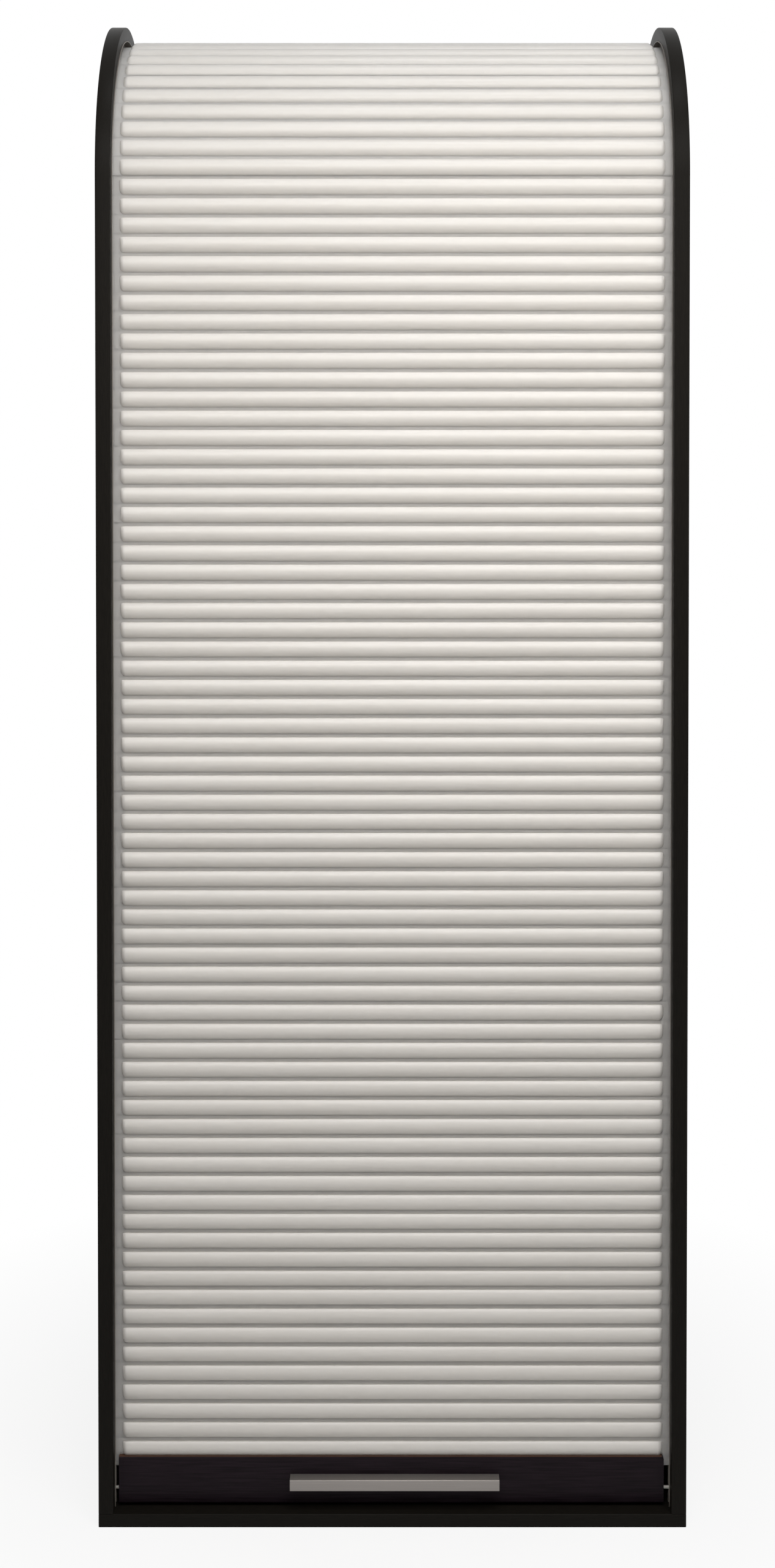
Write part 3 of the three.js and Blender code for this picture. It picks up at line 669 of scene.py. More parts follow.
class CABINET_OT_side_boards(bpy.types.Operator):
    """Model the two side boards, with eased edging, the curtain's groove, back slots and drilled holes"""
    bl_idname = "cabinet.side_boards"
    bl_label = "Side boards"

    pin_hole_radius: length_property("Pin hole", "Radius of the shelf pin holes", 2.8 * MM)
    pin_hole_depth: length_property("Pin hole depth", "Depth of the shelf pin holes", 12 * MM)
    pin_hole_step: length_property("Pin hole step", "Spacing of the shelf pin holes", 32 * MM)
    bolt_hole_radius: length_property("Bolt hole", "Radius of the holes for the cam bolts", 3.3 * MM)
    foot_hole_radius: length_property("Foot hole", "Radius of the holes for the base screws", 3.8 * MM)
    slot_depth: length_property("Back slot", "Depth of the slots for the backs", 6 * MM)

    def execute(self, context):
        for side, sign in SIDES:
            board = arch_board(f"{side}_side_board", sign * INNER_X, sign * OUTER_X, PANEL_FOOT)
            ease_edges(board, context.scene.cabinet_sizes.board_easing, self.is_rim)
            carve_at_once(board, self.cutters(side, sign, context.scene.cabinet_sizes))
            smooth(board)
            hand_over(board, f"side_panel_{side}", finish("melamine_board"))
        return {"FINISHED"}

    def is_rim(self, edge):
        """An edge of either face that turns onto the edging, but not the sawn foot."""
        in_face = abs(edge.verts[0].co.x - edge.verts[1].co.x) < TINY
        return in_face and is_sharp(edge) and middle(edge).z > PANEL_FOOT + TINY

    def cutters(self, side, sign, sizes):
        groove_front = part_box("guide_channel_left")[0].y - FIT_GAP
        groove_rear = groove_front + sizes.channel_width + 2 * FIT_GAP
        section = strip_section(
            sign, INNER_X - OVERRUN, INNER_X + sizes.groove_depth, groove_front, groove_rear)
        cutters = [horseshoe("cutter", *section, PANEL_FOOT - OVERRUN)]
        for back in ("inner_back", "outer_back"):
            low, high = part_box(back)
            low_x, high_x = span(sign * (INNER_X - OVERRUN), sign * (INNER_X + self.slot_depth))
            cutters.append(block(
                "cutter",
                (low_x, low.y - FIT_GAP, PANEL_FOOT - OVERRUN),
                (high_x, high.y + FIT_GAP, SPRING_HEIGHT + FIT_GAP)))
        for node in self.on_side("shelf_pin", side):
            for step in (-1, 0, 1):
                cutters.append(self.cross_hole(
                    node, sign, self.pin_hole_radius, self.pin_hole_depth, step * self.pin_hole_step))
        for node in self.on_side("cam_bolt", side):
            depth = abs(end_of(node, sign).x) - INNER_X + FIT_GAP
            cutters.append(self.cross_hole(node, sign, self.bolt_hole_radius, depth, 0))
        for node in self.on_side("base_screw", side):
            centre = centre_of(node)
            cutters.append(drill(
                self.foot_hole_radius,
                (centre.x, centre.y, PANEL_FOOT - OVERRUN),
                (centre.x, centre.y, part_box(node)[1].z + FIT_GAP)))
        return cutters

    def on_side(self, start, side):
        return [node for node in nodes_named(start) if node.endswith(side)]

    def cross_hole(self, node, sign, radius, depth, lift):
        """A hole across the board, at the height of a pin or bolt."""
        centre = centre_of(node)
        z = centre.z + lift
        low_x, high_x = span(sign * (INNER_X - OVERRUN), sign * (INNER_X + depth))
        return drill(radius, (low_x, centre.y, z), (high_x, centre.y, z), "X")


class CABINET_OT_channels(bpy.types.Operator):
    """Model the two plastic channels that line the grooves, with rounded lips"""
    bl_idname = "cabinet.channels"
    bl_label = "Guide channels"

    lip_radius: length_property("Lip radius", "Rounding of the channel's lips", 0.35 * MM)

    def execute(self, context):
        sizes = context.scene.cabinet_sizes
        low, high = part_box("guide_channel_left")
        mouth, floor = abs(high.x), abs(low.x)
        front = low.y
        rear = front + sizes.channel_width
        wall = sizes.channel_wall
        for side, sign in SIDES:
            outer = strip_section(sign, mouth, floor, front, rear)
            hollow = strip_section(sign, mouth - OVERRUN, floor - wall, front + wall, rear - wall)
            channel = horseshoe(f"{side}_channel", *outer, low.z)
            carve(channel, [horseshoe("cutter", *hollow, low.z - OVERRUN)])
            ease_edges(channel, self.lip_radius, lambda edge: self.is_lip(edge, mouth))
            smooth(channel)
            hand_over(channel, f"guide_channel_{side}", finish("channel_plastic"))
        return {"FINISHED"}

    def is_lip(self, edge, mouth):
        at_mouth = all(abs(abs(vertex.co.x) - mouth) < TINY for vertex in edge.verts)
        return at_mouth and is_sharp(edge) and middle(edge).z > PANEL_FOOT + TINY


class CABINET_OT_base_board(bpy.types.Operator):
    """Model the base board, edged all round, with countersunk holes underneath"""
    bl_idname = "cabinet.base_board"
    bl_label = "Base board"

    head_radius: length_property("Countersink", "Radius of the countersink at its mouth", 5.8 * MM)
    hole_radius: length_property("Hole", "Radius of the through hole", 3.8 * MM)
    head_height: length_property("Countersink height", "Height of the cone", 4 * MM)

    def execute(self, context):
        low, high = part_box("base_plate")
        board = block("base_board", low, high)
        ease_edges(board, context.scene.cabinet_sizes.board_easing, lambda edge: True)
        profile = [
            (self.head_radius, -OVERRUN),
            (self.head_radius, FIT_GAP),
            (self.hole_radius, FIT_GAP + self.head_height),
            (self.hole_radius, high.z + OVERRUN),
        ]
        hole = turned("hole", profile)
        for node in nodes_named("base_screw"):
            carve(board, [copy_of(hole, "cutter", Matrix.Translation(foot_of(node)))])
        remove(hole)
        smooth(board)
        hand_over(board, "base_plate", finish("melamine_shelf"))
        return {"FINISHED"}


# Curtain

# How far past its meeting with the sheet's face the bulge is cut, inside the sheet
SHEET_BITE = 0.05 * MM
# The turn that a slat's rounded end makes before it dies into the sheet
END_TURN = math.radians(74)
# How much of the slat's height its ends lose for each share of their depth, and the height, as a share of
# the slat's, that they draw in to
END_NARROWING = 0.42
END_PIVOT = 0.77
# Slats are welded where they meet at their hinges, within this distance
HINGE_WELD = 0.03 * MM


def slat_bulge(name, sizes, pitch):
    """The front of one slat, part of a round bar: a short shoulder at the top, then a round face that
    meets the sheet just above the hinge. Its ends are rounded and die into the sheet, rounder at their
    lower corners. It lies across the front of the arch, with the slat's middle at the origin's height."""
    top = pitch * sizes.slat_top
    low = sizes.hinge_gap - pitch / 2
    radius = sizes.slat_radius
    axis_depth = radius - sizes.slat_rise
    axis_height = low + math.sqrt(radius ** 2 - axis_depth ** 2)
    face = -sizes.sheet_radius
    root = face + sizes.sheet_thickness * sizes.root_share
    straight = sizes.slat_half - sizes.slat_end
    deselect_all()
    bpy.ops.mesh.primitive_cylinder_add(
        vertices=BULGE_STEPS, radius=radius, depth=2 * straight,
        location=(0, face + axis_depth, axis_height), rotation=(0, math.pi / 2, 0))
    bulge = bpy.context.object
    bulge.name = name
    settle(bulge)
    with editing(bulge):
        for at, outward in (
                ((0, root, 0), (0, 1, 0)), ((0, 0, top), (0, 0, 1)), ((0, 0, low - SHEET_BITE), (0, 0, -1))):
            bpy.ops.mesh.select_all(action="SELECT")
            bpy.ops.mesh.bisect(plane_co=at, plane_no=outward, clear_outer=True, use_fill=True)
        pivot = low + END_PIVOT * (top - low)
        for sign in (-1, 1):
            pick(bulge, "FACE", lambda face: facing(face, (sign, 0, 0)))
            reach, share = 0, 1
            for step in range(1, END_STEPS + 1):
                turn = END_TURN * step / END_STEPS
                next_reach = sizes.slat_end * math.sin(turn) / math.sin(END_TURN)
                next_share = math.cos(turn)
                extrude((sign * (next_reach - reach), 0, 0))
                narrowing = (1 - END_NARROWING * (1 - next_share)) / (1 - END_NARROWING * (1 - share))
                resize((1, next_share / share, narrowing), (0, face, pivot))
                reach, share = next_reach, next_share
    return bulge


def one_slat(name, sizes, pitch, half_turn):
    """One slat of the given pitch, open at its two hinges. On the arch its hinge faces lean by half the
    turn from slat to slat."""
    face = -sizes.sheet_radius
    rear = face + sizes.sheet_thickness
    web = face + sizes.sheet_thickness - sizes.hinge_depth
    web_pitch = pitch - 2 * (web - face) * math.tan(half_turn)
    rear_pitch = pitch - 2 * (rear - face) * math.tan(half_turn) - 2 * sizes.hinge_width
    slat = block(name, (-sizes.mat_half, face, -pitch / 2), (sizes.mat_half, web, pitch / 2))
    with editing(slat):
        pick(slat, "FACE", lambda face: facing(face, (0, 1, 0)))
        resize((1, 1, web_pitch / pitch), (0, web, 0))
        extrude((0, rear - web, 0))
        resize((1, 1, rear_pitch / web_pitch), (0, rear, 0))
    combine(slat, slat_bulge("bulge", sizes, pitch), "UNION")
    with editing(slat):
        pick(slat, "FACE", lambda face: max(vertex.co.y for vertex in face.verts) < web + TINY
             and min(abs(vertex.co.z) for vertex in face.verts) > web_pitch / 2 - TINY)
        bpy.ops.mesh.delete(type="ONLY_FACE")
    return slat


def curtain_section(name, slat, places):
    """Copies of a slat, each at its place, welded along their hinges and closed at both ends."""
    section = join([copy_of(slat, f"{name}_{i}", matrix) for i, matrix in enumerate(places)], name)
    with editing(section):
        bpy.ops.mesh.select_all(action="SELECT")
        bpy.ops.mesh.remove_doubles(threshold=HINGE_WELD)
        bpy.ops.mesh.select_mode(type="EDGE")
        bpy.ops.mesh.select_all(action="DESELECT")
        bpy.ops.mesh.select_non_manifold()
        bpy.ops.mesh.fill_holes(sides=0)
    return section


class CABINET_OT_curtain(bpy.types.Operator):
    """Model the curtain: slats down the front, round the arch and in the tail behind the inner back"""
    bl_idname = "cabinet.curtain"
    bl_label = "Curtain"

    def execute(self, context):
        sizes = context.scene.cabinet_sizes
        run = SPRING_HEIGHT - BAR_HIGH.z + sizes.bar_cover
        front_count = round(run / sizes.slat_pitch)
        front_pitch = run / front_count
        front = one_slat("front_slat", sizes, front_pitch, 0)
        front_run = curtain_section("slats_front_run", front, [
            Matrix.Translation((0, 0, SPRING_HEIGHT - (i + 0.5) * front_pitch)) for i in range(front_count)])
        self.add_flap(front_run, sizes)
        remove(front)

        arch_count = round(math.pi * sizes.sheet_radius / sizes.slat_pitch)
        step = math.pi / arch_count
        arch = one_slat("arch_slat", sizes, 2 * sizes.sheet_radius * math.tan(step / 2), step / 2)
        lift = Matrix.Translation(ARCH_CENTRE)
        turns = [about(ARCH_CENTRE, "X", -(i + 0.5) * step) @ lift for i in range(arch_count)]
        front_arc_count = math.ceil(arch_count / 2)
        front_arc = curtain_section("slats_front_arc", arch, turns[:front_arc_count])
        rear_arc = curtain_section("slats_rear_arc", arch, turns[front_arc_count:])
        remove(arch)

        tail_low, tail_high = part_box("curtain_tail")
        tail_count = round((tail_high.z - tail_low.z) / sizes.slat_pitch)
        rear = one_slat("tail_slat", sizes, sizes.slat_pitch, 0)
        half_turn = Matrix.Rotation(math.pi, 4, "X")
        tail = curtain_section("slats_tail", rear, [
            Matrix.Translation((0, 0, SPRING_HEIGHT - (i + 0.5) * sizes.slat_pitch)) @ half_turn
            for i in range(tail_count)])
        remove(rear)

        for piece, node in (
                (front_run, "curtain_front_run"), (front_arc, "curtain_front_arc"),
                (rear_arc, "curtain_rear_arc"), (tail, "curtain_tail")):
            smooth(piece)
            hand_over(piece, node, finish("slat_plastic"))
        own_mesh(front_run)
        return {"FINISHED"}

    def add_flap(self, run, sizes):
        """The lowest hinge goes on as a plain flap that is screwed into the lead bar's kerf."""
        end = BAR_HIGH.z - sizes.bar_cover
        rear = -sizes.sheet_radius + sizes.sheet_thickness
        with editing(run):
            pick(run, "FACE", lambda face: facing(face, (0, 0, -1)) and abs(face.verts[0].co.z - end) < TINY)
            extrude((0, 0, -sizes.hinge_width))
            mesh = bmesh.from_edit_mesh(run.data)
            for vertex in mesh.verts:
                if vertex.select and vertex.co.y > -sizes.sheet_radius + TINY:
                    vertex.co.y = rear
            bmesh.update_edit_mesh(run.data)
            extrude((0, 0, RUN_LOW.z - end + sizes.hinge_width))


# Lead bar, handle and pins

def bore_along_y(radius, node, front, rear):
    """A cutter from front to rear, on the axis of a screw that lies along Y."""
    centre = centre_of(node)
    return drill(radius, (centre.x, front, centre.z), (centre.x, rear, centre.z), "Y")


class CABINET_OT_lead_bar(bpy.types.Operator):
    """Model the lead bar: a foil-wrapped board with a saw kerf in its top and a rounded corner"""
    bl_idname = "cabinet.lead_bar"
    bl_label = "Lead bar"

    screw_hole_radius: length_property("Screw hole", "Radius of the holes for the handle's screws", 2.3 * MM)
    pilot_radius: length_property("Pilot hole", "Radius of the holes for the flap's screws", 2.05 * MM)
    pin_hole_radius: length_property("Pin hole", "Radius of the holes for the guide pins", 3.3 * MM)

    def execute(self, context):
        sizes = context.scene.cabinet_sizes
        bar = block("lead_board", BAR_LOW, BAR_HIGH)
        ease_edges(bar, sizes.bar_corner, lambda edge: along(edge, (0, 1, 0))
                   and middle(edge).x > BAR_HIGH.x - TINY and middle(edge).z > BAR_HIGH.z - TINY)
        ease_edges(bar, sizes.bar_easing, lambda edge: along(edge, (1, 0, 0)))
        face = -sizes.sheet_radius
        cutters = [block(
            "cutter",
            (BAR_LOW.x - OVERRUN, face - FIT_GAP, RUN_LOW.z - FIT_GAP),
            (BAR_HIGH.x + OVERRUN, face + sizes.sheet_thickness + FIT_GAP, BAR_HIGH.z + OVERRUN))]
        for node in nodes_named("handle_screw"):
            cutters.append(bore_along_y(
                self.screw_hole_radius, node, BAR_LOW.y - OVERRUN, BAR_HIGH.y + OVERRUN))
        for node in nodes_named("flap_screw"):
            cutters.append(bore_along_y(
                self.pilot_radius, node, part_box(node)[0].y - FIT_GAP, BAR_HIGH.y + OVERRUN))
        for node in nodes_named("guide_pin"):
            play = Vector((FIT_GAP, 0, 0))
            cutters.append(drill(
                self.pin_hole_radius, end_of(node, -1) - play, end_of(node, 1) + play, "X"))
        carve(bar, cutters)
        smooth(bar)
        hand_over(bar, "lead_bar", finish("bar_foil"))
        return {"FINISHED"}


class CABINET_OT_handle(bpy.types.Operator):
    """Model the aluminium handle: a channel, open below, with fine edges"""
    bl_idname = "cabinet.handle"
    bl_label = "Handle"

    edge_radius: length_property("Edge", "Rounding of the cut edges", 0.25 * MM)
    screw_hole_radius: length_property("Screw hole", "Radius of the holes in its rear wall", 2.3 * MM)

    def execute(self, context):
        sizes = context.scene.cabinet_sizes
        low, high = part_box("handle")
        wall = sizes.handle_wall
        handle = block("bar_handle", low, high)
        ease_edges(handle, sizes.handle_corner, lambda edge: along(edge, (1, 0, 0))
                   and middle(edge).y < low.y + TINY and middle(edge).z > high.z - TINY)
        cutters = [block(
            "cutter",
            (low.x - OVERRUN, low.y + wall, low.z - OVERRUN),
            (high.x + OVERRUN, high.y - wall, high.z - wall))]
        for node in nodes_named("handle_screw"):
            cutters.append(bore_along_y(
                self.screw_hole_radius, node, high.y - wall - OVERRUN, high.y + OVERRUN))
        carve(handle, cutters)
        modify(handle, "BEVEL", width=self.edge_radius, segments=HANDLE_EDGE_STEPS,
               limit_method="ANGLE", angle_limit=math.radians(CUT_EDGE_DEGREES))
        smooth(handle)
        hand_over(handle, "handle", finish("anodised_aluminium"))
        return {"FINISHED"}


class CABINET_OT_guide_pins(bpy.types.Operator):
    """Model the nylon pins in the ends of the lead bar"""
    bl_idname = "cabinet.guide_pins"
    bl_label = "Guide pins"

    tip: length_property("Tip", "Rounding of the pin's tip", 0.8 * MM)

    def execute(self, context):
        for side, sign in SIDES:
            node = f"guide_pin_{side}"
            low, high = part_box(node)
            radius = (high.z - low.z) / 2
            reach = high.x - low.x
            profile = [(radius, 0), (radius, reach - self.tip)]
            profile += rounded(radius, reach, self.tip)
            pin = place(turned(f"{side}_guide_peg", profile), lying(sign, end_of(node, -sign)))
            smooth(pin)
            hand_over(pin, node, finish("turned_nylon"))
        return {"FINISHED"}


# Inside boards

class CABINET_OT_shelves(bpy.types.Operator):
    """Model the fixed shelf, the ceiling board and the loose shelves, edged at the front"""
    bl_idname = "cabinet.shelves"
    bl_label = "Shelves"

    pocket_radius: length_property("Cam pocket", "Radius of the pockets for the cams", 7.8 * MM)
    bore_radius: length_property("Bolt bore", "Radius of the bores for the cam bolts", 3.7 * MM)

    def execute(self, context):
        easing = context.scene.cabinet_sizes.board_easing
        for node in nodes_named("shelf_"):
            if "pin" not in node:
                self.deliver(flat_board(f"loose_{node}", node, easing), node)
        for label, node in (("shelf", "fixed_shelf"), ("ceiling", "ceiling_board")):
            board = flat_board(f"{node}_edged", node, easing)
            carve(board, self.cam_holes(label, node))
            self.deliver(board, node)
        return {"FINISHED"}

    def deliver(self, board, node):
        smooth(board)
        hand_over(board, node, finish("melamine_shelf"))

    def cam_holes(self, label, node):
        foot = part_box(node)[0].z - OVERRUN
        z = centre_of(node).z
        cutters = []
        for row in ("front", "rear"):
            for side, sign in SIDES:
                cam = f"cam_{label}_{row}_{side}"
                x, y = centre_of(cam).xy
                cutters.append(drill(
                    self.pocket_radius, (x, y, foot), (x, y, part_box(cam)[1].z + FIT_GAP)))
                low_x, high_x = span(x, sign * (INNER_X + OVERRUN))
                cutters.append(drill(self.bore_radius, (low_x, y, z), (high_x, y, z), "X"))
        return cutters


class CABINET_OT_backs(bpy.types.Operator):
    """Model the inner and outer back, thin painted boards"""
    bl_idname = "cabinet.backs"
    bl_label = "Backs"

    easing: length_property("Easing", "Rounding of the cut edges", 0.4 * MM)

    def execute(self, context):
        for node in ("inner_back", "outer_back"):
            low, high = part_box(node)
            back = block(f"{node}_board", low, high)
            ease_edges(back, self.easing, lambda edge: not along(edge, (0, 1, 0)))
            smooth(back)
            hand_over(back, node, finish("hardboard_face"))
        return {"FINISHED"}


# Fittings

# Where the crest and the root of a cam bolt's thread lie in each turn, as shares of its pitch
CREST_SHARE = 0.4
ROOT_SHARE = 0.9
# A screw's tip, as a share of its shank's radius
TIP_SHARE = 0.15
# How far the rounding of a raised head has come after its first step
DOME_SHARE = 0.3
# A screw's cross recess, as shares of its head's radius and height
RECESS_LENGTH_SHARE = 0.62
RECESS_WIDTH_SHARE = 0.14
RECESS_DEPTH_SHARE = 0.6


def cross_recess(half_length, half_width, low, high):
    """The two bars of a screwdriver cross, as cutters centred on the Z axis."""
    return [
        block("cutter", (-half_length, -half_width, low), (half_length, half_width, high)),
        block("cutter", (-half_width, -half_length, low), (half_width, half_length, high)),
    ]


class CABINET_OT_cams(bpy.types.Operator):
    """Model the cams and bolts that hold the fixed shelf and the ceiling board"""
    bl_idname = "cabinet.cams"
    bl_label = "Cam fittings"

    slot_half_width: length_property("Slot", "Half the width of the driver slot", 1 * MM)
    slot_half_length: length_property("Slot length", "Half the length of the driver slot", 5.4 * MM)
    slot_depth: length_property("Slot depth", "Depth of the driver slot", 2.5 * MM)
    bore_radius: length_property("Bore", "Radius of the bore for the bolt's head", 3.7 * MM)
    head_length: length_property("Head", "Length of the bolt's head", 2.6 * MM)
    neck_length: length_property("Neck", "Length of the bolt's neck", 4 * MM)
    neck_radius: length_property("Neck radius", "Radius of the bolt's neck", 2 * MM)
    shank_radius: length_property("Shank radius", "Radius over the bolt's thread", 3 * MM)
    thread_pitch: length_property("Thread", "Pitch of the bolt's coarse thread", 2 * MM)
    thread_depth: length_property("Thread depth", "Depth of that thread", 0.6 * MM)
    thread_length: length_property("Thread length", "Length of that thread", 8 * MM)
    rim: length_property("Rim", "Rounding of the cam's rims", 0.4 * MM)

    def execute(self, context):
        cams = {sign: self.cam(sign) for side, sign in SIDES}
        bolt = self.bolt()
        for label in ("shelf", "ceiling"):
            for row in ("front", "rear"):
                for side, sign in SIDES:
                    spot = f"{label}_{row}_{side}"
                    at = foot_of(f"cam_{spot}") + Vector((0, 0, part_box(f"cam_{spot}")[0].z))
                    cam = copy_of(cams[sign], f"cam_body_{spot}", Matrix.Translation(at))
                    smooth(cam)
                    hand_over(cam, f"cam_{spot}", finish("zinc_plate"))
                    tip = end_of(f"cam_bolt_{spot}", sign)
                    dowel = copy_of(bolt, f"cam_dowel_{spot}", lying(-sign, tip))
                    smooth(dowel)
                    hand_over(dowel, f"cam_bolt_{spot}", finish("zinc_plate"))
        for model in (*cams.values(), bolt):
            remove(model)
        return {"FINISHED"}

    def cam(self, sign):
        low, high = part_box("cam_shelf_front_left")
        radius = (high.y - low.y) / 2
        height = high.z - low.z
        board_low, board_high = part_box("fixed_shelf")
        profile = [(radius - self.rim, 0), (radius, self.rim), (radius, height - self.rim)]
        profile += rounded(radius, height, self.rim)
        cam = turned("cam", profile)
        bore_z = (board_high.z - board_low.z) / 2
        low_x, high_x = span(-sign * self.head_length, sign * (radius + OVERRUN))
        cutters = [drill(self.bore_radius, (low_x, 0, bore_z), (high_x, 0, bore_z), "X")]
        cutters += cross_recess(self.slot_half_length, self.slot_half_width, -OVERRUN, self.slot_depth)
        carve(cam, cutters)
        return cam

    def bolt(self):
        low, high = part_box("cam_bolt_shelf_front_left")
        length = high.x - low.x
        radius = self.shank_radius
        head = (high.y - low.y) / 2
        stations = [(radius - self.thread_depth, 0)]
        turn_count = round(self.thread_length / self.thread_pitch)
        for i in range(turn_count):
            start = i * self.thread_pitch
            stations.append((radius, start + self.thread_pitch * CREST_SHARE))
            stations.append((radius - self.thread_depth, start + self.thread_pitch * ROOT_SHARE))
        neck_end = length - self.head_length
        neck_start = neck_end - self.neck_length
        stations += [(radius, self.thread_length), (radius, neck_start), (self.neck_radius, neck_start)]
        stations += [(self.neck_radius, neck_end), (head, neck_end), (head, length - self.rim)]
        stations += rounded(head, length, self.rim)
        return turned("bolt", stations)


class CABINET_OT_shelf_pins(bpy.types.Operator):
    """Model the plated pins under the loose shelves"""
    bl_idname = "cabinet.shelf_pins"
    bl_label = "Shelf pins"

    peg_radius: length_property("Peg", "Radius of the peg in the board", 2.5 * MM)
    peg_length: length_property("Peg length", "Length of the peg", 9.3 * MM)
    collar_radius: length_property("Collar", "Radius of the collar", 4.5 * MM)
    collar_width: length_property("Collar width", "Width of the collar", 1 * MM)
    stud_radius: length_property("Stud", "Radius of the stud under the shelf", 3 * MM)
    stud_length: length_property("Stud length", "Length of the stud", 9 * MM)
    rim: length_property("Rim", "Rounding of the pin's ends", 0.6 * MM)

    def execute(self, context):
        collar_end = self.peg_length + self.collar_width
        end = collar_end + self.stud_length
        profile = [
            (self.peg_radius - self.rim, 0), (self.peg_radius, self.rim),
            (self.peg_radius, self.peg_length), (self.collar_radius, self.peg_length),
            (self.collar_radius, collar_end), (self.stud_radius, collar_end),
            (self.stud_radius, end - self.rim)]
        model = turned("pin", profile + rounded(self.stud_radius, end, self.rim))
        for node in nodes_named("shelf_pin"):
            sign = -1 if node.endswith("left") else 1
            name = node.replace("shelf_pin", "shelf_peg")
            pin = copy_of(model, name, lying(-sign, end_of(node, sign)))
            smooth(pin)
            hand_over(pin, node, finish("zinc_plate"))
        remove(model)
        return {"FINISHED"}


class CABINET_OT_screws(bpy.types.Operator):
    """Model the screws of the base, the curtain's flap and the handle"""
    bl_idname = "cabinet.screws"
    bl_label = "Screws"

    base_head: length_property("Base head", "Height of the countersunk head", 4 * MM)
    base_shank: length_property("Base shank", "Radius of the base screw", 3.5 * MM)
    flap_head: length_property("Flap head", "Height of the flap screw's head", 1.8 * MM)
    flap_shank: length_property("Flap shank", "Radius of the flap screw", 1.75 * MM)
    handle_head: length_property("Handle head", "Height of the handle screw's head", 2.2 * MM)
    handle_shank: length_property("Handle shank", "Radius of the handle screw", 2 * MM)
    thread_share: bpy.props.FloatProperty(
        name="Thread", description="Depth of a thread, as a share of the shank's radius",
        default=0.22, min=0, max=0.5, subtype="FACTOR")

    def execute(self, context):
        low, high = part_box("base_screw_front_left")
        base = self.screw(
            "base", (high.x - low.x) / 2, self.base_head, self.base_shank, high.z - low.z, True)
        for node in nodes_named("base_screw"):
            self.deliver(base, node, Matrix.Translation(foot_of(node) + Vector((0, 0, FIT_GAP))))
        for start, head, shank in (
                ("flap_screw", self.flap_head, self.flap_shank),
                ("handle_screw", self.handle_head, self.handle_shank)):
            nodes = nodes_named(start)
            low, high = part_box(nodes[0])
            model = self.screw(start, (high.x - low.x) / 2, head, shank, high.y - low.y, False)
            for node in nodes:
                centre = centre_of(node)
                at = (centre.x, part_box(node)[1].y, centre.z)
                turn = Matrix.Translation(at) @ Matrix.Rotation(math.pi / 2, 4, "X")
                self.deliver(model, node, turn)
            remove(model)
        remove(base)
        return {"FINISHED"}

    def deliver(self, model, node, matrix):
        screw = copy_of(model, f"{node}_threaded", matrix)
        smooth(screw)
        hand_over(screw, node, finish("zinc_plate"))

    def screw(self, name, head_radius, head_height, shank, length, countersunk):
        """A screw along +Z from the top of its head to its tip."""
        if countersunk:
            stations = [(head_radius, 0), (shank, head_height)]
        else:
            ease = head_height / 2
            dome = ease * DOME_SHARE
            stations = [(head_radius - ease, 0), (head_radius - dome, dome), (head_radius, ease)]
            stations += [(head_radius, head_height), (shank, head_height)]
        pitch = shank
        tip = length - shank
        count = int((tip - head_height) / pitch) - 1
        start = tip - count * pitch
        stations.append((shank, start))
        for i in range(count):
            stations.append((shank * (1 - self.thread_share), start + (i + 0.5) * pitch))
            stations.append((shank, start + (i + 1) * pitch))
        stations.append((shank * TIP_SHARE, length))
        model = turned(name, stations, SCREW_STEPS)
        carve(model, cross_recess(
            head_radius * RECESS_LENGTH_SHARE, head_radius * RECESS_WIDTH_SHARE,
            -OVERRUN, head_height * RECESS_DEPTH_SHARE))
        return model


# Stage

# The softboxes: each one's name, the height that it is aimed at and its distance from there in metres, its
# elevation in degrees, the name of its power among the operator's, and the colour of its light
SOFTBOXES = (
    ("top_softbox", 1.8, 6, 65, "top_power", (0.98, 0.99, 1)),
    ("key_softbox", 0.3, 3, 50, "key_power", (1, 0.985, 0.97)),
    ("fill_softbox", 0.3, 2, 50, "fill_power", (1, 0.94, 0.88)),
)
# The width and height of each softbox, in metres
LAMP_WIDTH = 2.6
LAMP_HEIGHT = 0.75
# How far a lamp stands to the right, as a share of its distance
LAMP_SIDE_SHARE = 0.1
FLOOR_RADIUS = 14
FLOOR_STEPS = 96
FLOOR_GREY = 0.82
# The share of plain white in the floor as it is seen, up to the first radius in metres. From the second
# radius on, the floor is all white.
WHITE_AT_CABINET = 0.85
FADE_START = 0.3
FADE_END = 1.0


def power_property(name, description, default):
    return bpy.props.FloatProperty(name=name, description=description, default=default, min=0, unit="POWER")


